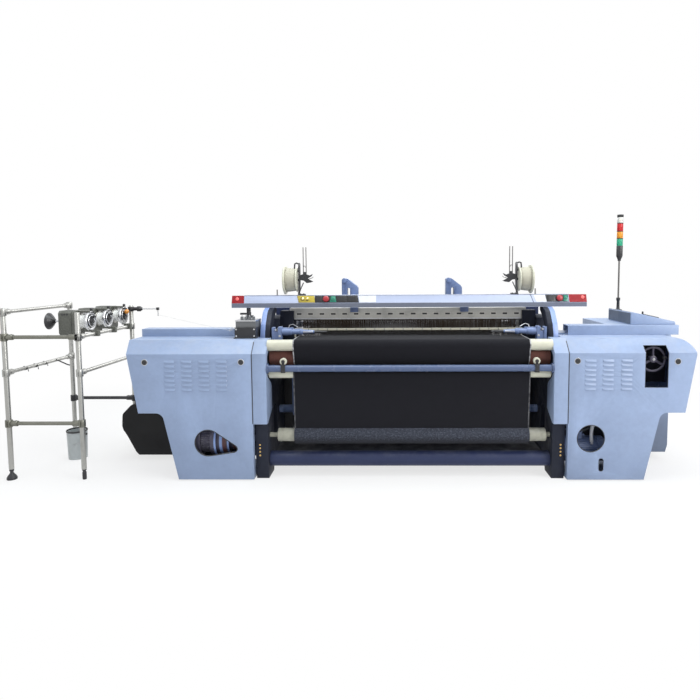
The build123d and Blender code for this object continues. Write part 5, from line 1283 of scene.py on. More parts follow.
class LOOM_OT_covers(bpy.types.Operator):
    """Fit the covers' locks, seams, edgings, the dark liners that paint the shade behind the openings, and
    the pipes behind the round hole
    """

    bl_idname = "loom.covers"
    bl_label = "Cover fittings"

    def execute(self, context):
        locks, rims = Shape(), Shape()
        for u, z in LOCKS:
            at = (u, 0, z)
            locks.lathe(at, ((0.5, 19), (-2, 19), (-3, 17.6), (-3, 15.2)), "d", 40)
            face = ((-2, 15.2), (-6.8, 15.2), (-7.8, 14), (-7.8, 5), (-6.2, 4.2), (-6.2, 0))
            locks.lathe(at, face, "d", 40)
            locks.box((u - 9.5, u + 9.5), (-7.9, -7.4), (z - 1.4, z + 1.4))
            rims.lathe(at, ((0.2, 22.5), (-1.4, 22.5), (-2.2, 21.4), (-2.2, 18.4), (0.2, 18.4)), "d", 40)
        locks.piece("cover_locks", "root", "black_paint", "black_plastic")
        seals = Shape()
        for node, u in (("left_front_cover", -SEAL_U), ("right_front_cover", SEAL_U)):
            points = [(u, front_of(node, u * SEAL_BESIDE, z) - 0.4, z) for z in range(*SEAL_Z)]
            seals.path(points, SEAL_R, 8, False)
        seals.piece("cover_seals", "root", "black_plastic", "rubber")
        rims.piece("lock_rims", "root", "bright_steel", "steel")
        self.edgings()
        # Dark plates behind the covers' openings: painted shade of the unlit insides.
        liners = Shape()
        for u, d, z in (((-1760, -1325), (9, 11), (642, 866)), ((1190, 1550), (9, 11), (642, 866)),
                        ((-1560, -1110), (330, 334), (70, 440)), ((1110, 1640), (330, 334), (30, 480)),
                        ((1560, 1900), (300, 304), (640, 960))):
            liners.box(u, d, z)
        liners.piece("cover_liners", "root", "black_paint", "inside")
        seams, hinges = Shape(), Shape()
        for side in (-1, 1):
            seams.box(flank(side, 1095.7, 1096.3), (-0.2, 3), (405, 900))
            seams.box(flank(side, 1150, 1690), (417, 421.5), (988, 992.2))
            u = side * 1093.0
            for z in (150, 760):
                hinges.bar((u, 404, z - 32), (u, 404, z + 32), 5.5, 16)
                hinges.box(sorted((u, u + side * 22)), (407, 409.5), (z - 30, z + 30))
        seams.piece("cover_seams", "root", "black_plastic", "rubber")
        hinges.piece("cover_hinges", "root", "dull_steel", "zinc", bevel=0.5)
        pipes, hose = Shape(), Shape()
        pipes.path([(1150, 190, 318), (1190, 196, 322), (1225, 202, 310), (1262, 208, 322), (1300, 212, 348),
                    (1330, 214, 392), (1340, 216, 450)], 9, 20)
        pipes.path([(1150, 180, 292), (1200, 186, 290), (1250, 190, 296), (1296, 196, 312), (1336, 200, 338),
                    (1380, 204, 350)], 8, 20)
        pipes.piece("cooling_pipes", "root", "dull_steel", "grey_plastic", level=1)
        hose.path([(1306, 120, 206), (1302, 118, 250), (1300, 120, 300), (1306, 126, 350), (1330, 130, 384)],
                  13, 20)
        hose.piece("pale_hose", "root", "cream_paint", "white", level=1)
        return {"FINISHED"}

    def edgings(self):
        edges = Shape()
        edging(edges, hull_outline(*TEAR), 3.4)
        edging(edges, circle(*ROUND_HOLE, 64), 3.0)
        (u, z, wide, high) = SLOT_HOLE
        reach = (high - wide) / 2
        edging(edges, hull_outline((u, z + reach, wide / 2), (u, z - reach, wide / 2), 12), 2.0)
        ((u0, u1), (z0, z1)) = WINDOW
        back = EDGING_D + z1 - SHOULDER
        edges.path([(u0, EDGING_D, SHOULDER), (u0, EDGING_D, z0), (u1, EDGING_D, z0),
                    (u1, EDGING_D, SHOULDER), (u1, back, z1), (u0, back, z1), (u0, EDGING_D, SHOULDER),
                    (u0, EDGING_D, SHOULDER - 10)], 2.4, 8, False)
        edges.piece("edgings", "root", "black_plastic", "rubber")


# Drive: the stepped pulley and the hand wheel
PULLEY_AXIS = (152.0, 262.0)
PULLEY_END = -1530.0
PULLEY_STEPS = ((118, 40), (96, 74), (122, 26), (108, 96), (84, 60))     # radius and width of each step
WHEEL_AT = (1702.0, 846.0)
WHEEL_RIM = 83.5


class LOOM_OT_drive(bpy.types.Operator):
    """Turn the stepped pulley and cast the hand wheel"""

    bl_idname = "loom.drive"
    bl_label = "Drive"

    def execute(self, context):
        centre = (0, *PULLEY_AXIS)
        pulley = Shape()
        at = PULLEY_END
        stops = [(at, 0)]
        for r, wide in PULLEY_STEPS:
            stops += [(at, r - 3), (at + 3, r), (at + wide - 3, r), (at + wide, r - 3)]
            at += wide
        pulley.lathe(centre, stops + [(at, 22), (-1062, 22), (-1062, 0)], "u", 96)
        for middle in circle(*PULLEY_AXIS, 96, 36):
            pulley.bar((-1486, *middle), (-1420, *middle), 3, 8)
        pulley.piece("pulley", "drive_pulley", "iron_paint", "iron", "drive_pulley")
        for name, finish, rows in (
                ("pulley_bands", "pale_casting",
                 ((-1388, 122.6, 14), (-1352, 108.8, 20), (-1296, 108.8, 12))),
                ("pulley_lining", "wine", ((-1330, 108.7, 26), (-1262, 84.8, 18)))):
            bands = Shape()
            for u, r, wide in rows:
                bands.lathe(centre, ((u, r - 3), (u, r), (u + wide, r), (u + wide, r - 3)), "u", 96)
            bands.piece(name, "drive_pulley", "iron_paint", finish)
        (u, z) = WHEEL_AT
        wheel, grip, hub = Shape(), Shape(), Shape()
        for k in range(3):
            angle = 2 * pi * k / 3 + pi / 6
            wheel.path([(u + r * cos(angle), d, z - r * sin(angle)) for r, d in
                        ((20, 78), (50, 80), (WHEEL_RIM, 77))], 8, 16)
        wheel.hoop([(a, 77, b) for a, b in circle(u, z, WHEEL_RIM, 48)], 8.4, 20)
        wheel.lathe((u, 0, z), ((62, 0), (62, 18), (66, 24), (88, 26), (92, 20), (92, 14), (446, 14),
                                (446, 0)), "d", 48)
        wheel.piece("wheel", "hand_wheel", "black_plastic", "iron", "hand_wheel")
        grip.lathe((u + 70, 0, z + 12), ((40, 0), (40, 8), (43, 11), (56, 9.5), (66, 11), (70, 8), (74, 5),
                                         (74, 0)), "d", 32)
        grip.piece("wheel_grip", "hand_wheel", "black_plastic", "black_plastic")
        hub.bolt((u, 62, z), 7, "d", -1)
        hub.piece("wheel_bolt", "hand_wheel", "bright_steel", "zinc")
        return {"FINISHED"}


# Console beam: trim, lamps and buttons on its leaning face
CONSOLE_D = 400.0
CONSOLE_FOOT = 1195.0
FACE_FOOT = 1229.0
FACE_LONG = hypot(59.0, 15.0)
FACE_UP = Vector((0.0, 15.0, 59.0)) / FACE_LONG
FACE_OUT = Vector((0.0, -59.0, 15.0)) / FACE_LONG
STOP_BUTTONS = {"left_stop": -622.0, "right_stop": 1142.0}
STOP_HOLE = 13.5             # half the hole in the backing that a stop button's stem goes into
BACKING_TOP = 57.5
END_LAMPS = ((-1341.5, -1247.5, 2, -4), (1216.5, 1347.5, -4, -2))


def on_face(u, along, out):
    """A point of the console's leaning face: along it from its foot, and out of it."""
    return Vector((u, CONSOLE_D, FACE_FOOT)) + FACE_UP * along + FACE_OUT * out


def face_plate(shape, outline, low, high):
    """An outline on the face, (u, along), extruded along the face's normal."""
    shape.extrude([on_face(u, t, n) for n in (low, high) for u, t in outline])


def face_dome(shape, u, along, stops):
    """A turned knob that stands out of the face; stops are (out, radius)."""
    rings = []
    for out, r in stops:
        spots = circle(u, along, r, 32) if r > 0 else [(u, along)]
        rings.append([on_face(a, b, out) for a, b in spots])
    shape.skin(rings)


def dome_stops(r, foot, high, count=8):
    """Stops of a round cap of radius r that rises by high above foot."""
    angles = [pi / 2 * k / count for k in range(count)]
    return [(foot + high * sin(angle), r * cos(angle)) for angle in angles] + [(foot + high, 0)]


class LOOM_OT_console(bpy.types.Operator):
    """Fit the console's lip plate in painted shade, plates, lamps, bulbs, the glowing domes that paint the
    end lamps' highlights, and domed buttons
    """

    bl_idname = "loom.console"
    bl_label = "Console"

    def execute(self, context):
        lip, trim, plates = Shape(), Shape(), Shape()
        # A plate over the console's lip in the darker paint: painted shade below the leaning face.
        lip.box((-1341, 1347), (398.8, 400), (1197, 1227.5))
        lip.piece("console_lip", "root", "console_paint", "lip", bevel=0.4)
        trim.box((-1246, 1215), (399.2, 401), (1227.6, 1229.4))
        trim.box((-1246, 1215), (413, 416), (1287.2, 1289.4))
        face_plate(trim, ((944, 1), (950, 1), (929, 59), (923, 59)), -0.5, 1)
        trim.piece("console_trim", "root", "dull_steel", "lip")
        face_plate(plates, ((-368, 4), (-242, 4), (-242, 57), (-376, 57)), -0.4, 1.2)
        face_plate(plates, ((968, 4), (1046, 4), (1034, 57), (947, 57)), -0.4, 1.2)
        plates.piece("bare_plates", "root", "console_paint", "white", bevel=0.4)
        self.buttons()
        self.lamps()
        return {"FINISHED"}

    def buttons(self):
        backing = Shape()
        top = BACKING_TOP
        for left_foot, right_foot, left_top, right_top, stop in (
                (-712, -372, -706, -382, STOP_BUTTONS["left_stop"]),
                (1046, 1212, 1036, 1208, STOP_BUTTONS["right_stop"])):
            (near, far) = (stop - STOP_HOLE, stop + STOP_HOLE)
            for corners in (((left_foot, 3), (near, 3), (near, top), (left_top, top)),
                            ((far, 3), (right_foot, 3), (right_top, top), (far, top)),
                            ((near, 3), (far, 3), (far, 16), (near, 16)),
                            ((near, 43), (far, 43), (far, top), (near, top))):
                face_plate(backing, corners, -0.4, 0.5)
        backing.piece("button_backing", "root", "black_plastic", "black_plastic")
        for name, u in STOP_BUTTONS.items():
            cap = Shape()
            foot = [(0.6, 0), (0.6, 12), (9, 12), (10, 22.5), (12, 23.5)]
            face_dome(cap, u, FACE_LONG / 2, foot + dome_stops(23.5, 13, 9))
            cap.piece(name + "_cap", name + "_button", "red_plastic", "red", name + "_button")
        for name, u, r, high in (("left_start", -568, 18, 5), ("right_start", 1190, 12, 4)):
            cap = Shape()
            face_dome(cap, u, 31, [(4.6, r + 1)] + dome_stops(r, 5.4, high))
            cap.piece(name + "_cap", name + "_button", "green_plastic", "green")
        for node, u, half in (("menu_button", -677.0, 15.0), ("left_forward_button", -501.0, 24.0),
                              ("left_reverse_button", -420.0, 26.0), ("right_reverse_button", 1080.0, 20.0)):
            cap = Shape()
            narrow = half * 0.9
            face_plate(cap, ((u - half, 17), (u + half, 17), (u + narrow, 47), (u - narrow, 47)), 4.5, 6.4)
            cap.piece(node + "_pad", node, "black_plastic", "black_plastic", bevel=1.2)

    def lamps(self):
        lenses, bulbs, rings, highlight_domes = Shape(), Shape(), Shape(), Shape()
        for left, right, lean_left, lean_right in END_LAMPS:
            outline = ((left, 1), (right, 1), (right + lean_right, 60.5), (left + lean_left, 60.5))
            face_plate(lenses, outline, -40, 1.6)
            (u0, u1) = (left + 6, right - 8)
            for k in range(1, 7):
                t = 60.0 * k / 7
                face_plate(lenses, ((u0, t - 1.2), (u1, t - 1.2), (u1, t + 1.2), (u0, t + 1.2)), 1, 2.4)
        lenses.piece("end_lenses", "root", "lens", "red_glass", "end_lamps", bevel=2.0)
        for u in (-798, -762):
            face_dome(bulbs, u, 37, [(2.4, 8.5)] + dome_stops(8.5, 3.6, 7))
            face_dome(rings, u - 3, 32, [(2.3, 15), (3, 14.4), (3, 9)])
        bulbs.piece("console_bulbs", "root", "lens", "bulb")
        rings.piece("bulb_sockets", "root", "black_plastic", "socket")
        # Glowing domes over the end lamps' lenses: painted highlights.
        for u, along in ((-1299, 34), (1318, 38)):
            face_dome(highlight_domes, u, along, [(1.4, 13)] + dome_stops(13, 1.8, 6))
        highlight_domes.piece("end_bulbs", "root", "lens", "red_highlight_glow")


# Weft feeder stand: tubes, clamps and feeders
STAND_U = (-2841.0, -2318.0)
STAND_D = (32.0, 827.0)
(LEG_LEFT, LEG_RIGHT) = STAND_U
LEG_BACK = STAND_D[1]
LEGS = [(u, d) for u in STAND_U for d in STAND_D]
BARS = (
    (LEGS[0], LEGS[2], 1020.0, "olive_tube"),
    (LEGS[0], LEGS[2], 405.0, "olive_tube"),
    (LEGS[1], LEGS[3], 405.0, "black"),
    (LEGS[0], LEGS[1], 1196.0, "tube"),
    (LEGS[0], LEGS[1], 766.0, "tube"),
    (LEGS[2], LEGS[3], 766.0, "tube"),
    (LEGS[2], LEGS[3], 1020.0, "tube"),
)
ARM_END = (-2091.0, 1163.0)
FEEDER_DS = (262.0, 510.0, 758.0)
FEEDER_Z = 1112.0
FEEDER_U = (-2556.0, -2428.0)


class LOOM_OT_stand(bpy.types.Operator):
    """Draw the feeder stand's tubes, sleeves, feet, hooks and yarn arm"""

    bl_idname = "loom.stand"
    bl_label = "Feeder stand"

    def execute(self, context):
        shapes = {"tube": Shape(), "olive_tube": Shape(), "black": Shape()}
        black = shapes["black"]
        for u, d in LEGS:
            top = 1216.0 if u == LEG_LEFT else 1192.0
            stops = ((74, 0), (74, 16), (77, 17), (top - 3, 17), (top, 15), (top, 0))
            shapes["tube"].lathe((u, d, 0), stops, "z", 40)
        for (u0, d0), (u1, d1), z, finish in BARS:
            self.cross_tube(shapes[finish], (u0, d0, z), *(("u", u0, u1) if u1 > u0 else ("d", d0, d1)))
        joints = {(u, d, z, finish) for (a, b, z, finish) in BARS for (u, d) in (a, b)}
        for u, d, z, finish in sorted(joints):
            stops = ((0, 17.2), (0, 22), (3, 24), (49, 24), (52, 22), (52, 17.2))
            shapes[finish].lathe((u, d, z - 26), stops, "z", 36)
            shapes[finish].box((u - 5, u + 5), (d - 31, d - 21), (z - 20, z + 20))
            shapes[finish].bolt((u, d - 30, z), 5)
        shapes["tube"].piece("stand_legs", "root", "aluminium", "tube", "stand_tubes")
        shapes["olive_tube"].piece("stand_cross_tubes", "root", "aluminium", "olive_tube")
        for u, d in LEGS:
            if u == LEG_LEFT:
                foot = ((0, 0), (0, 33), (4, 34), (14, 33), (26, 27), (44, 13), (60, 9), (60, 15))
                sides = 36
            else:
                foot = ((0, 0), (0, 12), (6, 14), (52, 14), (60, 10), (66, 10), (66, 15))
                sides = 32
            black.lathe((u, d, 0), (*foot, (76, 15), (76, 0)), "z", sides)
        (eye_u, eye_z) = ARM_END
        stops = ((0, 17.2), (0, 23), (3, 25), (33, 25), (36, 23), (36, 17.2))
        black.lathe((LEG_RIGHT, LEG_BACK, eye_z - 18), stops, "z", 36)
        stops = ((20, 0), (20, 15), (52, 15), (56, 22), (80, 22), (84, 18), (96, 10), (96, 0))
        black.lathe((0, LEG_BACK, eye_z), [(LEG_RIGHT + s, r) for s, r in stops], "u", 36)
        black.box((eye_u - 10, eye_u + 8), (LEG_BACK - 11, LEG_BACK + 11), (eye_z - 11, eye_z + 11))
        for d, drop in ((230.0, 26), (345.0, 30), (460.0, 24)):
            hook = ((0, -6, 782), (-15, -3, 770), (-6, 0, 752), (14, 3, 756), (16, 8, 772),
                    (20, 10, 766 - drop))
            black.path([(LEG_LEFT + u, d + back, z) for u, back, z in hook], 3.2, 10)
        lever = ((10, 590, 772), (22, 600, 764), (70, 640, 724), (84, 652, 716))
        black.path([(LEG_LEFT + u, d, z) for u, d, z in lever], 5, 12)
        black.piece("stand_sleeves", "root", "black_plastic", "black", "stand_fittings")
        steel = Shape()
        steel.bar((LEG_RIGHT + 90, LEG_BACK, eye_z), (eye_u - 8, LEG_BACK, eye_z), 5.5, 20)
        steel.bar((eye_u, LEG_BACK, eye_z - 10), (eye_u, LEG_BACK, eye_z - 58), 3.6, 16)
        steel.hoop([(eye_u, LEG_BACK + b, eye_z - 50 + a) for a, b in circle(0, 0, 9, 16)], 1.4, 8)
        steel.piece("yarn_arm", "root", "bright_steel", "steel")
        return {"FINISHED"}

    def cross_tube(self, shape, foot, axis, start, end):
        """One cross tube between two legs, with a bolted sleeve at each end."""
        (u, d, z) = foot
        centre = (0, d, z) if axis == "u" else (u, 0, z)
        shape.lathe(centre, ((start + 18, 13.5), (end - 18, 13.5)), axis, 36)
        for at, out in ((start, 1), (end, -1)):
            sleeve = ((14, 13), (14, 18.5), (17, 20), (62, 20), (66, 17.5), (66, 13))
            shape.lathe(centre, [(at + out * s, r) for s, r in sleeve], axis, 32)
            for s in (28, 52):
                spot = (at + out * s, d, z + 18) if axis == "u" else (u, at + out * s, z + 18)
                shape.bolt(spot, 4.5, "z", 1)


class LOOM_OT_feeders(bpy.types.Operator):
    """Build the three weft feeders with their funnels, drums, rings and yarn guides"""

    bl_idname = "loom.feeders"
    bl_label = "Weft feeders"

    def execute(self, context):
        shapes = {name: Shape() for name in ("body", "black", "silver", "spool", "amber", "dark")}
        for d in FEEDER_DS:
            self.housing(d, shapes["body"], shapes["black"])
            self.drum(d, shapes)
            self.guide(d, shapes)
        shapes["body"].piece("feeder_bodies", "root", "feeder_paint", "olive", "feeder_housings", 3.0, 3)
        shapes["black"].piece("feeder_funnels", "root", "black_plastic", "black_plastic")
        shapes["silver"].piece("feeder_rings", "root", "bright_steel", "steel")
        shapes["dark"].piece("feeder_brushes", "root", "black_plastic", "rubber")
        shapes["spool"].piece("feeder_yarn", "root", "yarn", "yarn")
        shapes["amber"].piece("feeder_eyes", "root", "yellow_plastic", "amber")
        for number, d in enumerate(FEEDER_DS, start=1):
            disc = Shape()
            stops = ((-2427.6, 16.2), (-2427.6, 54), (-2425, 57), (-2421, 57), (-2418.8, 54), (-2418.8, 16.2),
                     (-2427.6, 16.2))
            disc.lathe((0, d, FEEDER_Z), stops, "u", 64)
            disc.lathe((-2423, d + 50, FEEDER_Z), ((-6, 0), (-6, 4), (6, 4), (6, 0)), "u", 16)
            node = f"feeder_disc_{number}"
            disc.piece(f"winding_disc_{number}", node, "bright_steel", "aluminium", node)
        return {"FINISHED"}

    def housing(self, d, body, black):
        (x0, x1) = FEEDER_U
        z = FEEDER_Z
        outline = ((d - 60, z - 84), (d - 46, z - 104), (d + 46, z - 104), (d + 60, z - 84),
                   (d + 60, z + 62), (d + 42, z + 80), (d - 42, z + 80), (d - 60, z + 62))
        body.prism(outline, (x0, x1 - 34), "u")
        inner = [(d + (a - d) * 0.95, z + (b - z) * 0.95) for a, b in outline]
        body.prism(inner, (x1 - 36, x1 - 28), "u")
        body.prism(outline, (x1 - 30, x1), "u")
        body.box((x1 - 10, -2350), (d - 25, d + 25), (z + 65, z + 79))
        body.box((x0 + 20, x1 - 44), (d - 61.2, d - 59), (z - 60, z + 30))
        body.box((-2364, -2300), (d - 11, d + 11), (1038, z - 66))
        for k in range(3):
            u = x0 + 24 + 18 * k
            black.box((u, u + 11), (d - 61.4, d - 59.6), (z + 46, z + 60))
        for k in range(7):
            u = x0 + 28 + 9 * k
            black.box((u, u + 4), (d - 30, d + 30), (z + 79.4, z + 80.6))

    def drum(self, d, shapes):
        z = FEEDER_Z
        at = (0, d, z)
        x0 = FEEDER_U[0]
        funnel = ((-2612, 12), (-2622, 22), (-2640, 44), (-2658, 61), (-2661, 62), (-2661, 59), (-2655, 55),
                  (-2636, 36), (-2622, 16), (-2618, 7), (-2618, 0))
        shapes["black"].lathe(at, funnel, "u", 48)
        for stops, sides in (
                (((-2613, 0), (-2613, 8), (x0, 8), (x0, 15), (x0 + 3, 15), (x0 + 3, 0)), 32),
                (((-2660, 14), (-2664, 14), (-2664, 19), (-2658, 19), (-2640, 13)), 32),
                (((-2364, 54), (-2364, 68), (-2361, 70), (-2347, 70), (-2344, 67), (-2344, 57), (-2346, 54),
                  (-2364, 54)), 72),
                (((-2350, 45), (-2342, 45), (-2340, 43), (-2340, 38), (-2350, 36)), 64)):
            shapes["silver"].lathe(at, stops, "u", sides)
        for root, tip in zip(circle(d, z, 56, 36), circle(d, z, 47, 36, 0.1)):
            shapes["dark"].path([(-2356, *root), (-2352, *tip)], 1.0, 5)
        shapes["dark"].lathe(at, ((-2371, 0), (-2371, 36), (-2352, 36), (-2350, 30), (-2350, 12), (-2342, 8),
                                  (-2342, 0)), "u", 48)
        shapes["spool"].lathe(at, ((-2418, 46), (-2417, 49.4), (-2402, 50), (-2392, 49.6), (-2380, 48.6),
                                   (-2371, 46), (-2371, 34)), "u", 64)

    def guide(self, d, shapes):
        z = FEEDER_Z
        black, silver, body = shapes["black"], shapes["silver"], shapes["body"]
        silver.box((-2418, -2370), (d - 6, d + 6), (z + 55, z + 61))
        black.lathe((0, d, z + 88), ((-2350, 0), (-2350, 9), (-2338, 9), (-2334, 7), (-2334, 0)), "u", 24)
        black.path([(-2344, d, z + 84), (-2330, d - 4, z + 76), (-2326, d - 6, z + 60)], 2.2, 8)
        silver.lathe((-2316, d, z), ((-6, 0), (-6, 6), (6, 6), (6, 0)), "z", 24)
        (bead, r) = (shapes["amber"], 19) if d == max(FEEDER_DS) else (black, 11)
        angles = [pi * k / 14 for k in range(15)]
        bead.lathe((-2322, d, z + 34), [(r * -cos(angle), r * sin(angle)) for angle in angles], "z", 32)
        black.path([(-2344, d, z + 62), (-2322, d, z + 60), (-2322, d, z + 50)], 4, 10)
        silver.bar((-2322, d, z + 16), (-2322, d, z - 40), 2.2, 10)
        body.box((-2346, -2290), (d - 13, d + 13), (1000, 1042))
        body.bolt((-2318, d, 1041), 6, "z", 1)


# Reed, healds and their frames
REED_HALF = 868.0
REED_D = (418.0, 426.0)
HEALD_HALF = 930.0
STAVE_TOP = (1102.0, 1180.0)
STAVE_BOTTOM = (800.0, 868.0)
STAVE_SLOT = (1126.5, 1141.5)
SLOT_PITCH = 90.0
SLOTS = [(k - 9.5) * SLOT_PITCH for k in range(20)]
SLOT_HALF = 19.0
FRAME_FRONTS = (560.0, 580.0, 600.0, 620.0)
DROP_RAILS = 4
DROP_WIRES = 110             # on each rail


def stave_boxes(shape, front):
    """The two staves and the end struts of one heald frame, with slots in the top one."""
    deep = (front, front + 12.0)
    full = (-HEALD_HALF, HEALD_HALF)
    shape.box(full, deep, STAVE_BOTTOM)
    for side in (-1, 1):
        shape.box(flank(side, 906, HEALD_HALF), deep, (868, 1102))
    shape.box(full, deep, (STAVE_TOP[0], STAVE_SLOT[0]))
    shape.box(full, deep, (STAVE_SLOT[1], STAVE_TOP[1]))
    edge = -HEALD_HALF
    for centre in SLOTS:
        shape.box((edge, centre - SLOT_HALF), deep, STAVE_SLOT)
        edge = centre + SLOT_HALF
    shape.box((edge, HEALD_HALF), deep, STAVE_SLOT)


class LOOM_OT_healds(bpy.types.Operator):
    """Build the heald frames with their slots, rods and hundreds of healds"""

    bl_idname = "loom.healds"
    bl_label = "Heald frames"

    def execute(self, context):
        count = context.scene.loom_sizes.healds
        for body, node, fronts in (("odd_frames", "heald_frames_odd", FRAME_FRONTS[::2]),
                                   ("even_frames", "heald_frames_even", FRAME_FRONTS[1::2])):
            frames, rims, rods, inserts = Shape(), Shape(), Shape(), Shape()
            for front in fronts:
                stave_boxes(frames, front)
                self.slots(front, rims, inserts)
                for z in (874, 1096):
                    rods.box((-906, 906), (front + 5, front + 7), (z - 5, z + 5))
                for u in (-918, 918):
                    for z in (820, 850, 1116, 1164):
                        rods.bolt((u, front, z), 4.5, washer=False)
            frames.piece(body + "_staves", body, "aluminium", "stave", node, bevel=0.8)
            rims.piece(body + "_slot_rims", body, "aluminium", "aluminium")
            inserts.piece(body + "_slot_inserts", body, "black_plastic", "black_plastic")
            rods.piece(body + "_rods", body, "dull_steel", "zinc")
            heald = Shape()
            heald.box((-0.9, 0.9), (-0.35, 0.35), (-110, -7))
            heald.box((-0.9, 0.9), (-0.35, 0.35), (7, 110))
            eye = ((0, -8), (-1.7, -3), (-1.7, 3), (0, 8), (1.7, 3), (1.7, -3), (0, -8))
            heald.path([(u, 0, z) for u, z in eye], 0.45, 4, False)
            spots = []
            for k in range(count):
                share = 2.0 * (k + 0.5) / count - 1.0
                u = CLOTH_MIDDLE + (CLOTH_HALF + 12.0) * share + 0.9 * sin(k * 2.3)
                spots += [(u, front + 6.0, 985.0) for front in fronts]
            repeat(body + "_healds", heald, spots, body, "heald", 0.012, 4)
        return {"FINISHED"}

    def slots(self, front, rims, inserts):
        """The bright rims round one frame's slots and the dark strips in them."""
        for centre in SLOTS:
            inserts.box((centre - 19.3, centre + 19.3), (front + 3, front + 9), (1126.2, 1141.8))
            for face in (front - 0.8, front + 11.4):
                for z in (1124, 1141.5):
                    rims.box((centre - 21.5, centre + 21.5), (face, face + 1.4), (z, z + 2.5))
                for u in (centre - 21.5, centre + 19):
                    rims.box((u, u + 2.5), (face, face + 1.4), (1124, 1144))


class LOOM_OT_reed(bpy.types.Operator):
    """Set the blades of the reed between its baulks, and the grid of the warp stop motion"""

    bl_idname = "loom.reed"
    bl_label = "Reed and stop motion"

    def execute(self, context):
        dents = context.scene.loom_sizes.dents
        baulks, bands, blade, wire = Shape(), Shape(), Shape(), Shape()
        (front, back) = REED_D
        baulks.box((-REED_HALF, REED_HALF), REED_D, (922.4, 942.0))
        baulks.box((-REED_HALF, REED_HALF), (front - 3, back + 3), (1019.0, 1035.0))
        for side in (-1, 1):
            baulks.box(flank(side, REED_HALF - 10, REED_HALF), REED_D, (942.0, 1019.0))
        baulks.piece("reed_baulks", "sley", "cream_paint", "baulk", "reed", bevel=2.0)
        for k in range(24):
            u = -REED_HALF + 36 + (2 * REED_HALF - 72) * k / 23
            bands.box((u - 2.5, u + 2.5), (front - 3.3, front - 2.6), (1019.5, 1034.5))
        bands.piece("reed_bands", "sley", "cream_paint", "grey_plastic")
        blade.box((-0.45, 0.45), (-3.4, 3.4), (-39, 39))
        span = 2 * (REED_HALF - 12)
        spots = [(-span / 2 + span * (k + 0.5) / dents, 422.0, 980.5) for k in range(dents)]
        repeat("reed_blades", blade, spots, "sley", "dent", 0.004, 7)
        for u, z in (((-2.6, 2.6), (-14, 72)), ((-2.6, -1.4), (-70, -14)), ((1.4, 2.6), (-70, -14)),
                     ((-2.6, 2.6), (-78, -70))):
            wire.box(u, (-0.25, 0.25), z)
        spots = []
        for rail in range(DROP_RAILS):
            for k in range(DROP_WIRES):
                u = CLOTH_MIDDLE + (CLOTH_HALF - 8.0) * (2.0 * (k + 0.25 * rail) / DROP_WIRES - 1.0)
                spots.append((u, 1025.0 + 30.0 * rail, 1008.0))
        repeat("drop_wires", wire, spots, "root", "steel", 0.03, 11)
        return {"FINISHED"}


# Front rail, temples, leno units and the signal tower
RAIL_AXIS = (30.0, 794.0)
TEMPLE_D = 243.0
LENO_AXIS = (500.0, 1405.0)
TOWER_AT = (1690.0, 668.0, 0)
TOWER_FOOT = 1660.0          # where its lowest lens stands
TOWER_LENSES = (("green_lens", 54.0, 6), ("amber_lens", 50.0, 6), ("red_lens", 58.0, 6),
                ("clear_lens", 44.0, 21))     # finish, height and the height of the ring on it


def on_side(side, *points):
    """Points with their u taken to one side of the loom's middle."""
    return [(side * u, d, z) for u, d, z in points]


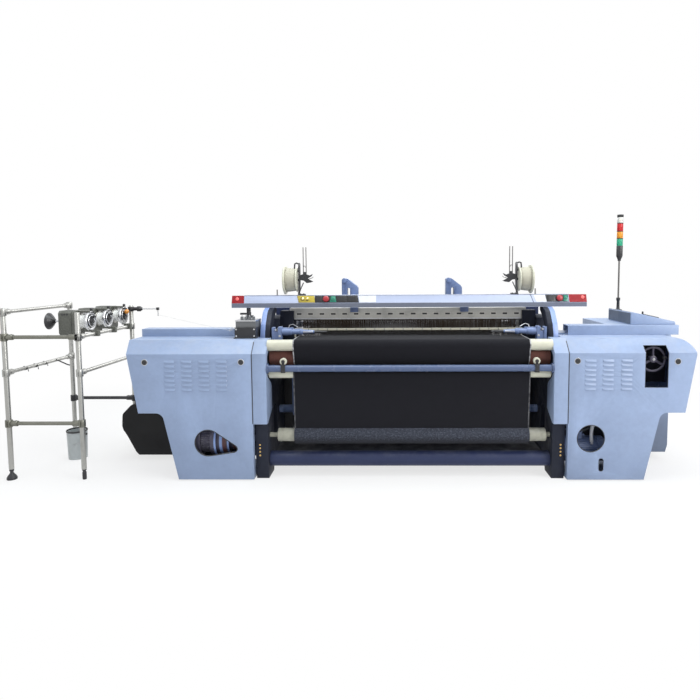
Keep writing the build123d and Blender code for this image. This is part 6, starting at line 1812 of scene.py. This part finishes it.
class LOOM_OT_front(bpy.types.Operator):
    """Draw the front rail with its clamps, the temples and the front tube"""

    bl_idname = "loom.front"
    bl_label = "Front rail and temples"

    def execute(self, context):
        self.rail()
        arms, steel, tips, tube, bolts = Shape(), Shape(), Shape(), Shape(), Shape()
        for side in (-1, 1):
            self.temple(side, arms, steel, tips)
        arms.piece("temple_arms", "root", "casting_paint", "casting", "temples", bevel=2.0)
        steel.piece("temple_fittings", "root", "bright_steel", "steel")
        tips.piece("temple_tips", "root", "black_paint", "black")
        tube.lathe((0, 124, 122), ((-1000, 0), (-1000, 54), (1000, 54), (1000, 0)), "u", 72)
        tube.box((-999.5, 999.5), (870, 990), (131, 223))
        tube.box((-999.5, 999.5), (790, 880), (1115, 1245))
        for side in (-1, 1):
            tube.box(flank(side, 999, 1088), (790, 880), (985, 1245))
            for z in (1002.0, 1026.0):
                for d in (806.0, 864.0):
                    bolts.bolt((side * 1088, d, z), 8, "u", side)
        tube.piece("cross_tube", "root", "frame_paint", "front_tube", "cross_members", bevel=2.5)
        bolts.piece("top_beam_bolts", "root", "bright_steel", "zinc")
        return {"FINISHED"}

    def rail(self):
        (d, z) = RAIL_AXIS
        rail, clamps, rings = Shape(), Shape(), Shape()
        rail.lathe((0, d, z), ((-991, 0), (-991, 22), (-989, 24), (989, 24), (991, 22), (991, 0)), "u", 64)
        for side in (-1, 1):
            stops = outward(side, ((984.5, 0), (984.5, 34), (994, 36), (996.5, 36), (996.5, 0)))
            rail.lathe((0, d, z), stops, "u", 48)
        rail.piece("rail", "root", "casting_paint", "rail", "front_rail")
        for u in (-880.0, 880.0):
            at = (u, 0, z + 50)
            clamps.box((u - 15, u + 15), (d - 27, d + 27), (z - 27, z + 29))
            clamps.box((u - 11, u + 11), (d - 12, d + 12), (z + 28, z + 34))
            rings.lathe(at, ((d - 14, 0), (d - 14, 20), (d - 11, 24), (d + 10, 24), (d + 10, 0)), "d", 40)
            clamps.lathe(at, ((d - 13, 0), (d - 15, 13), (d - 18, 12), (d - 20, 6), (d - 20, 0)), "d", 24)
            clamps.box((u - 9, u + 9), (d - 17, d - 12), (z + 20, z + 44))
            for drop in (-18, 18):
                clamps.bolt((u, d - 27, z + drop), 4.5, "d", -1)
        clamps.piece("rail_clamps", "root", "black_paint", "black", bevel=1.5)
        rings.piece("rail_rings", "root", "cream_paint", "cream")

    def temple(self, side, arms, steel, tips):
        arms.box(flank(side, 928, 954), (216, 270), (896, 1066))
        arms.box(flank(side, 980, 999), (214, 272), (896, 1062))
        arms.box(flank(side, 950, 984), (222, 264), (896, 1030))
        stops = ((928, 0), (928, 24), (900, 26), (860, 24), (856, 19), (800, 18), (796, 22), (780, 22),
                 (776, 17), (690, 12), (688, 0))
        arms.lathe((0, TEMPLE_D, 1028), outward(side, stops), "u", 40)
        arms.box(flank(side, 846, 930), (238, 262), (1040, 1058))
        arms.box(flank(side, 780, 850), (240, 258), (1040, 1050))
        at = (0, TEMPLE_D, 1026)
        tips.lathe(at, outward(side, ((690, 0), (690, 11), (640, 8), (600, 5), (598, 0))), "u", 32)
        for k in range(9):
            r = 14.2 + k * 0.4
            steel.lathe((side * (704 + k * 8), *at[1:]), ((-2, 10), (-2, r), (2, r), (2, 10)), "u", 28)
        steel.bar((side * 967, 200, 1046), (side * 967, 286, 1046), 5, 20)
        for z in (920, 960, 1000):
            steel.bolt((side * 941, 216, z), 5.5, "d", -1)
        spring = on_side(side, (880, 246, 1056), (874, 250, 1076), (850, 252, 1084), (812, 252, 1062))
        steel.path(spring, 2.2, 8)


class LOOM_OT_leno(bpy.types.Operator):
    """Build the two leno units: bobbin, fork, thread rods and their yarn"""

    bl_idname = "loom.leno"
    bl_label = "Leno units"

    def execute(self, context):
        frames, steel = Shape(), Shape()
        for side, name in ((-1, "left"), (1, "right")):
            self.bobbin(side, name)
            self.fork(side, frames)
            self.rods(side, steel)
        frames.piece("leno_frames", "root", "black_paint", "black", "leno_brackets", bevel=1.5)
        steel.piece("leno_rods", "root", "bright_steel", "dark_steel")
        return {"FINISHED"}

    def bobbin(self, side, name):
        (d, z) = LENO_AXIS
        at = (0, d, z)
        body = "leno_" + name
        wind, yarn, ring = Shape(), Shape(), Shape()
        wind.lathe(at, outward(side, ((850, 10.2), (850, 90), (853, 93), (858, 93), (861, 88))), "u", 72)
        wind.lathe(at, outward(side, ((938, 92), (940, 108), (944, 112), (950, 112), (953, 108), (953, 98),
                                      (948, 92), (944, 52), (944, 26), (952, 22), (952, 10.2))), "u", 72)
        wind.piece("leno_flanges_" + name, body, "cream_paint", "cream", "leno_bobbin_" + name)
        stops = ((860, 12), (860, 80), (868, 85), (888, 88), (910, 91), (930, 92), (938, 90))
        yarn.lathe(at, outward(side, stops), "u", 72)
        yarn.piece("leno_winding_" + name, body, "yarn", "wound")
        ring.lathe(at, outward(side, ((945, 26), (955, 26), (957.5, 23), (957.5, 15), (945, 14))), "u", 40)
        for k in range(3):
            a = 2 * pi * k / 3 + 0.5
            (across, up) = (d + 38 * cos(a), z + 38 * sin(a))
            ring.box(flank(side, 944.5, 950), (across - 7, across + 7), (up - 7, up + 7))
        ring.piece("leno_hub_" + name, body, "aluminium", "aluminium", bevel=0.6)

    def fork(self, side, frames):
        (d, z) = LENO_AXIS
        arm = ((-40, 1288), (-6, 1288), (-6, 1318), (20, 1350), (30, 1420), (24, 1528), (-4, 1536),
               (-26, 1516), (-12, 1430), (-22, 1352), (-36, 1330))
        frames.prism([(d + across, up) for across, up in arm], flank(side, 832, 842), "u")
        frames.box(flank(side, 788, 842), (d - 60, d - 8), (1288, 1297))
        fan = ((838, 1404), (838, 1440), (815, 1446), (796, 1453), (757, 1438), (734, 1449), (745, 1432),
               (774, 1414), (752, 1402), (730, 1391), (752, 1383), (780, 1379), (803, 1398))
        frames.prism([(side * u, up) for u, up in fan], (d - 13, d + 13))
        stops = ((1440, 0), (1440, 9), (1446, 11), (1462, 11), (1466, 8), (1466, 0))
        frames.lathe((side * 797, d, 0), stops, "z", 32)
        frames.bar(*on_side(side, (830, d, z), (956, d, z)), 9.8, 24)
        frames.path(on_side(side, (842, d + 4, 1526), (858, d + 2, 1534), (872, d, 1528), (874, d - 4, 1500),
                            (874, d - 8, 1452)), 6, 12)
        frames.path(on_side(side, (842, d - 2, 1472), (872, d - 2, 1470)), 5, 12)
        frames.path(on_side(side, (836, d - 34, 1300), (820, d - 40, 1340), (800, d - 36, 1384)), 4, 10)

    def rods(self, side, steel):
        d = LENO_AXIS[0]
        for u in (806, 784):
            steel.bar(*on_side(side, (u, d, 1430), (u, d, 1655)), 3.6, 16)
        bow = on_side(side, (806, d, 1500), (800, d - 3, 1512), (794, d - 3, 1512), (788, d, 1500))
        steel.path(bow, 2.6, 8)
        steel.path(on_side(side, (770, d, 1410), (744, d - 6, 1416), (728, d - 8, 1426)), 2.4, 8)
        for z, shift in ((1304.0, -24), (1404.0, 0), (1500.0, 0)):
            steel.bolt((side * 842, d + shift, z), 6, "u", side)
        for u in (800.0, 826.0):
            steel.bolt((side * u, d - 34, 1297), 5, "z", 1)
        post = 1000 if side < 0 else 968
        steel.bar(*on_side(side, (post, d - 60, 1288), (post, d - 60, 1332)), 4.5, 14)


class LOOM_OT_tower(bpy.types.Operator):
    """Stack the signal tower's lenses, rings, cap, socket and pole"""

    bl_idname = "loom.tower"
    bl_label = "Signal tower"

    def execute(self, context):
        at = TOWER_AT
        (u, d) = at[:2]
        black, core, pole, bolts = Shape(), Shape(), Shape(), Shape()
        black.lathe(at, ((1540, 7.2), (1540, 12), (1552, 13), (1576, 23), (1580, 24), (1657, 24),
                         (1660, 22.4), (1660, 0)), "z", 48)
        lenses = {}
        foot = TOWER_FOOT
        for finish, high, cap in TOWER_LENSES:
            top = foot + high
            lenses[finish] = Shape()
            stops = ((foot, 0), (foot, 22.4), (foot + 1.5, 23.2), (top - 1.5, 23.2), (top, 22.4), (top, 0))
            lenses[finish].lathe(at, stops, "z", 64)
            core.lathe(at, ((foot + 8, 0), (foot + 8, 5), (top - 8, 5), (top - 8, 0)), "z", 16)
            foot = top + cap
            stops = ((top, 0), (top, 23.4), (top + 1, 24), (foot - 2, 24), (foot, 22), (foot, 0))
            black.lathe(at, stops, "z", 48)
        black.lathe(at, ((1118, 0), (1118, 33), (1122, 34), (1152, 30), (1158, 14), (1170, 12), (1222, 11),
                         (1228, 15), (1244, 15), (1248, 14), (1248, 0)), "z", 40)
        black.piece("tower_body", "root", "black_plastic", "black_plastic", "signal_tower")
        for number, (finish, lens) in enumerate(lenses.items()):
            lens.piece(f"tower_{finish}", "root", "lens", finish, None if number else "tower_lenses")
        core.piece("tower_bulbs", "root", "lens", "bulb")
        pole.bar((u, d, 1246), (u, d, 1542), 6.5, 32)
        pole.piece("tower_pole", "root", "bright_steel", "dark_steel")
        for spot in circle(u, d, 24, 3):
            bolts.bolt((*spot, 1150), 4, "z", 1)
        bolts.piece("tower_bolts", "root", "bright_steel", "zinc")
        return {"FINISHED"}


# Motor, weft selector, weft yarn, pail, cabinet, hood and the castings' bolts
MOTOR_AXIS = (172.0, 186.0)
MOTOR_R = 84.0
MOTOR_U = (1088.0, 1408.0)
SELECTOR_U = (-1252.0, -1099.0)
SELECTOR_D = (150.0, 330.0)
SELECTOR_TOP = 1083.0
FINGERS = 4
YARN_FROM = Vector((-2091.0, 827.0, 1113.0))
YARN_TO = Vector((-1293.0, 176.5, 1047.0))
YARN_CLEAR = 4.3
YARN_SAG = 3.0
PAIL_AT = (-2629.0, 492.0)
CABINET_U = (1636.0, 1978.0)
CABINET_Z = (92.0, 1036.0)
CABINET_BACK = 930.0
HOOD_U = (1654.0, 1982.0)
HOOD_TOP = (1158.0, 1084.0)
HOOD_FRONT = 336.0
HOOD_LEVER = (1803.0, 480.0)
TRAY_HALF = 1086.0


class LOOM_OT_motor(bpy.types.Operator):
    """Build the main motor with its fins, terminal box and fan cowl"""

    bl_idname = "loom.motor"
    bl_label = "Main motor"

    def execute(self, context):
        (d, z) = MOTOR_AXIS
        (near, far) = MOTOR_U
        body, vents = Shape(), Shape()
        body.lathe((0, d, z), ((near, 0), (near, MOTOR_R + 10), (near + 18, MOTOR_R + 10),
                               (near + 22, MOTOR_R - 10), (far - 62, MOTOR_R - 10), (far - 62, MOTOR_R),
                               (far - 16, MOTOR_R), (far - 5, MOTOR_R - 9), (far, MOTOR_R - 18), (far, 0)),
                   "u", 48)
        for k in range(36):
            (c, s) = (cos(pi * k / 18), sin(pi * k / 18))
            corners = [(d + r * c - half * s, z + r * s + half * c) for r, half in
                       ((MOTOR_R - 14, -1.6), (MOTOR_R, -1.2), (MOTOR_R, 1.2), (MOTOR_R - 14, 1.6))]
            body.prism(corners, (near + 26, far - 66), "u")
        top = z + MOTOR_R
        body.box((near + 60, near + 150), (d - 38, d + 38), (top - 20, top + 36))
        body.box((near + 56, near + 154), (d - 42, d + 42), (top + 36, top + 42))
        for u in (near + 64, near + 146):
            for across in (d - 34, d + 34):
                body.bolt((u, across, top + 42), 3.5, "z", 1, washer=False)
        body.lathe((near + 150, d, top + 8), ((0, 0), (0, 12), (22, 12), (22, 8), (30, 8), (30, 0)), "u", 20)
        body.piece("motor", "root", "casting_paint", "casting", "main_motor", bevel=0.5)
        # Dark discs on the fan end: painted shade of its vent holes.
        for r in (22, 36, 50):
            for spot in circle(d, z, r, 14):
                vents.lathe((far - 0.5, *spot), ((0, 0), (0, 4), (1, 4), (1, 0)), "u", 10, False)
        vents.piece("motor_vents", "root", "black_paint", "inside")
        return {"FINISHED"}


class LOOM_OT_weft(bpy.types.Operator):
    """Build the weft selector, lead the weft yarn to it and set the pail on the floor"""

    bl_idname = "loom.weft"
    bl_label = "Weft selector, yarn and pail"

    def execute(self, context):
        self.selector()
        self.lead_yarn(context.scene.loom_sizes.yarn)
        self.pail()
        return {"FINISHED"}

    def selector(self):
        (u0, u1) = SELECTOR_U
        (d0, d1) = SELECTOR_D
        (foot, top) = (COVER_TOP, SELECTOR_TOP)
        dark, grey, bright = Shape(), Shape(), Shape()
        dark.box((u0, u1), (d0, d1), (foot, top - 14))
        dark.box((u0 - 7, u1 + 3), (d0 - 6, d1), (foot, foot + 7))
        post = (u0 + 20, u0 + 46)
        dark.box(post, (d1 - 10, CONSOLE_D + 40), (top - 20, top))
        dark.box(post, (CONSOLE_D + 14, CONSOLE_D + 40), (top - 20, CONSOLE_FOOT))
        dark.box((u0 - 30, u0 + 24), (CONSOLE_D + 10, CONSOLE_D + 34), (1142, 1156))
        dark.box((u0 + 46, u0 + 98), (d1 - 40, d1 - 6), (top + 44, top + 62))
        dark.lathe((u0 + 74, d1 - 24, top + 60), ((0, 0), (0, 9), (26, 9), (32, 5), (32, 0)), "z", 20)
        grey.box((u0 + 4, u1 - 4), (d0 + 18, d1 - 6), (top - 14, top + 30))
        bright.box((u0 + 2, u1 - 2), (d0 + 12, d1 - 4), (top + 30, top + 38))
        for k in range(FINGERS):
            at = u0 + 34 + 28 * k
            grey.box((at, at + 18), (d0 + 40, d0 + 62), (top + 38, top + 62))
            bright.bar((at + 9, d0 + 51, top + 62), (at + 9, d0 + 51, top + 74), 3, 12)
        for finger in range(FINGERS):
            d = d0 + 26.5 + finger * 22
            bright.path([(u0 + 2, d, top - 21), (u0 - 30, d, top - 20), (u0 - 39, d, top - 25),
                         (u0 - 41, d, top - 31.5)], 1.8, 10)
            bright.hoop([(u0 - 41 + b, d, top - 36 + a) for a, b in circle(0, 0, 4.6, 12)], 1.0, 8)
        for z in (foot + 18, foot + 66):
            for u in (u0 + 12, u1 - 12):
                bright.bolt((u, d0 - 0.5, z), 4.0)
        dark.piece("selector", "root", "black_paint", "black", "weft_selector", bevel=1.5)
        grey.piece("selector_magnets", "root", "black_paint", "grey_plastic", bevel=1.2)
        bright.piece("selector_needles", "root", "bright_steel", "steel")

    def lead_yarn(self, diameter):
        along = (YARN_TO - YARN_FROM).normalized()
        start = YARN_FROM + along * YARN_CLEAR
        end = YARN_TO - along * YARN_CLEAR
        route = []
        for k in range(9):
            share = k / 8
            at = start.lerp(end, share) - Vector((0, 0, YARN_SAG * 4 * share * (1 - share)))
            route.append(Vector(place(*at)))
        curve = bpy.data.curves.new("weft_yarn", "CURVE")
        curve.dimensions = "3D"
        spline = curve.splines.new("NURBS")
        spline.points.add(len(route) - 1)
        for point, at in zip(spline.points, route):
            point.co = (*at, 1.0)
        spline.order_u = 3
        spline.use_endpoint_u = True
        curve.resolution_u = 6
        curve.bevel_depth = diameter / 2
        curve.bevel_resolution = 3
        curve.use_fill_caps = True
        curve.materials.append(M["yarn"])
        yarn = add_object("weft_yarn_thread", curve)
        settle(yarn, "root", "weft_yarn")

    def pail(self):
        wall, rim, wire = Shape(), Shape(), Shape()
        (u, d) = PAIL_AT
        wall.lathe((u, d, 0), ((6, 0), (6, 63.5), (217, 70), (219, 74), (214, 74), (214, 71.6), (202, 74),
                               (196, 73.5), (150, 72), (147, 71.6), (0, 67.5), (0, 62), (2.5, 60), (2.5, 0)),
                   "z", 64)
        rim.lathe((u, d, 0), ((217, 70.2), (226, 70.6), (228, 73), (228, 75), (225, 77), (217, 77), (214, 75),
                              (214, 74.2), (217, 74.2), (217, 70.2)), "z", 64)
        rim.lathe((u + 74, d - 18, 196), ((-4, 0), (-4, 8), (6, 10), (16, 8), (18, 0)), "u", 24)
        rim.lathe((u - 74, d + 18, 196), ((4, 0), (4, 8), (-3, 8), (-3, 0)), "u", 20)
        turns = [pi * k / 16 for k in range(17)]
        bow = [(u + 80 * cos(t), d - 19 * cos(t) - 70 * sin(t), 198 - 74 * sin(t)) for t in turns]
        wire.path(bow, 1.8, 10)
        wall.piece("pail", "root", "pail", "pail", "bucket")
        rim.piece("pail_rim", "root", "black_plastic", "black_plastic")
        wire.piece("pail_handle", "root", "dull_steel", "zinc")


class LOOM_OT_rear(bpy.types.Operator):
    """Hang the cabinet's door, cut its grille, and finish the hood, the dark tray that paints the shade under
    the machine, and the castings' bolts
    """

    bl_idname = "loom.rear"
    bl_label = "Cabinet, hood, tray and bolts"

    def execute(self, context):
        self.cabinet()
        self.hood()
        self.inside()
        self.bolts()
        return {"FINISHED"}

    def cabinet(self):
        (u0, u1) = CABINET_U
        (z0, z1) = CABINET_Z
        back = CABINET_BACK
        door, black, louvre = Shape(), Shape(), Shape()
        corner = 10.0
        outline = ((u0 + corner, z0), (u1 - corner, z0), (u1, z0 + corner), (u1, z1 - corner),
                   (u1 - corner, z1), (u0 + corner, z1), (u0, z1 - corner), (u0, z0 + corner))
        door.prism(outline, (back, back + 4))
        for z in (z0 + 120, (z0 + z1) / 2, z1 - 120):
            door.lathe((u0 - 7, back + 6, z), ((-30, 0), (-30, 6), (30, 6), (30, 0)), "z", 16)
        black.box((u1 - 46, u1 - 24), (back + 4, back + 10), (540, 660))
        stops = ((back + 10, 0), (back + 10, 9), (back + 18, 9), (back + 18, 0))
        black.lathe((u1 - 35, 0, 625), stops, "d", 24)
        black.box((u1 - 42, u1 - 28), (back + 14, back + 22), (556, 630))
        door.piece("cabinet_door", "root", "cover_paint", "cover", bevel=1.0)
        black.piece("cabinet_lock", "root", "black_plastic", "black_plastic", bevel=1.2)
        louvre.prism(((0, 0), (7, -2), (7, -3.4), (0, -12)), (-100, 100), "u")
        places = [((u0 + u1) / 2, back + 4, z) for z in range(180, 400, 18)]
        repeat("cabinet_louvres", louvre, places, "root", "cover")

    def hood(self):
        dark, side = Shape(), Shape()
        (left, right) = HOOD_U
        (high, low) = HOOD_TOP
        (u, d) = HOOD_LEVER
        slope = (high - low) / (right - left)
        (knob, start, end) = [high - (at - left) * slope for at in (u, u + 8, u + 122)]
        dark.lathe((u, d, knob - 2), ((0, 0), (0, 9), (10, 9), (12, 6), (24, 7), (28, 5), (28, 0)), "z", 24)
        dark.prism(((u + 8, start + 1), (u + 122, end + 1), (u + 122, end + 8), (u + 8, start + 8)),
                   (d - 10, d + 10))
        dark.piece("hood_lever", "root", "black_plastic", "black_plastic", bevel=0.8)
        # A plate on the hood's left side in darker paint: painted shade on the side that faces away from the
        # light.
        front = HOOD_FRONT + 12
        outline = ((front, 1068), (756, 1068), (756, high - 10), (front, high - 10))
        side.prism(outline, (left - 2.5, left + 0.5), "u")
        side.piece("hood_side", "root", "console_paint", "hood_side", bevel=0.8)

    def inside(self):
        tray, levers = Shape(), Shape()
        edge = TRAY_HALF
        # A dark tray on the floor between the side frames: painted shade under the machine, where the floor
        # would show.
        tray.box((-edge, edge), (480, 900), (16, 20))
        for d in (480, 897):
            tray.box((-edge, edge), (d, d + 3), (16, 44))
        for u in (-edge, edge - 3):
            tray.box((u, u + 3), (480, 900), (16, 44))
        for u in (-900, 0, 900):
            for d in (500, 870):
                tray.box((u - 12, u + 12), (d - 12, d + 12), (0, 16))
        tray.piece("lint_tray", "root", "black_paint", "inside")
        for side in (-1, 1):
            levers.prism(((640, 126), (790, 126), (790, 520), (760, 600), (670, 600), (640, 560)),
                         flank(side, 934, 1000), "u")
            levers.box(flank(side, 990, 1076), (650, 880), (242, 548))
            for z in (190, 330, 470):
                levers.bolt((side * 934, 715, z), 9, "u", -side)
        levers.piece("heald_lever_boxes", "root", "black_paint", "black", bevel=3.0)

    def bolts(self):
        frames = ((-1, "side_frame_left"), (1, "side_frame_right"))
        for name, finish, r, at, heights in (("grease_nipples", "brass", 4.5, 1058.0, (248, 224, 198, 172)),
                                             ("frame_bolts", "zinc", 8.0, 1046.0, (520, 600, 690))):
            bolt = Shape()
            bolt.bolt((0, 0, 0), r)
            points = [(side * at, front_of(node, side * at, z), z) for side, node in frames for z in heights]
            repeat(name, bolt, points, "root", finish)


OPERATORS = [
    LOOM_OT_finishes, LOOM_OT_cloth, LOOM_OT_shed, LOOM_OT_rollers, LOOM_OT_covers, LOOM_OT_drive,
    LOOM_OT_console, LOOM_OT_stand, LOOM_OT_feeders, LOOM_OT_healds, LOOM_OT_reed, LOOM_OT_front,
    LOOM_OT_leno, LOOM_OT_tower, LOOM_OT_motor, LOOM_OT_weft, LOOM_OT_rear,
]


class LOOM_PT_panel(bpy.types.Panel):
    """The loom's sizes and colours, with a button for each group of pieces"""

    bl_idname = "LOOM_PT_panel"
    bl_label = "Weaving loom"
    bl_space_type = "VIEW_3D"
    bl_region_type = "UI"
    bl_category = "Loom"

    def draw(self, context):
        column = self.layout.column(align=True)
        for group in (context.scene.loom_colours, context.scene.loom_sizes):
            for name in group.bl_rna.properties.keys():
                if name not in ("rna_type", "name"):
                    column.prop(group, name)
        for operator in (*OPERATORS, LOOM_OT_stage):
            column.operator(operator.bl_idname)


CLASSES = (LoomColours, LoomSizes, *OPERATORS, LOOM_OT_stage, LOOM_PT_panel)


def register():
    for cls in CLASSES:
        bpy.utils.register_class(cls)
    bpy.types.Scene.loom_colours = bpy.props.PointerProperty(type=LoomColours)
    bpy.types.Scene.loom_sizes = bpy.props.PointerProperty(type=LoomSizes)


def unregister():
    del bpy.types.Scene.loom_colours
    del bpy.types.Scene.loom_sizes
    for cls in reversed(CLASSES):
        bpy.utils.unregister_class(cls)


def main():
    register()
    for operator in (*OPERATORS, LOOM_OT_stage):
        (group, name) = operator.bl_idname.split(".")
        getattr(getattr(bpy.ops, group), name)()


if __name__ == "__main__":
    main()
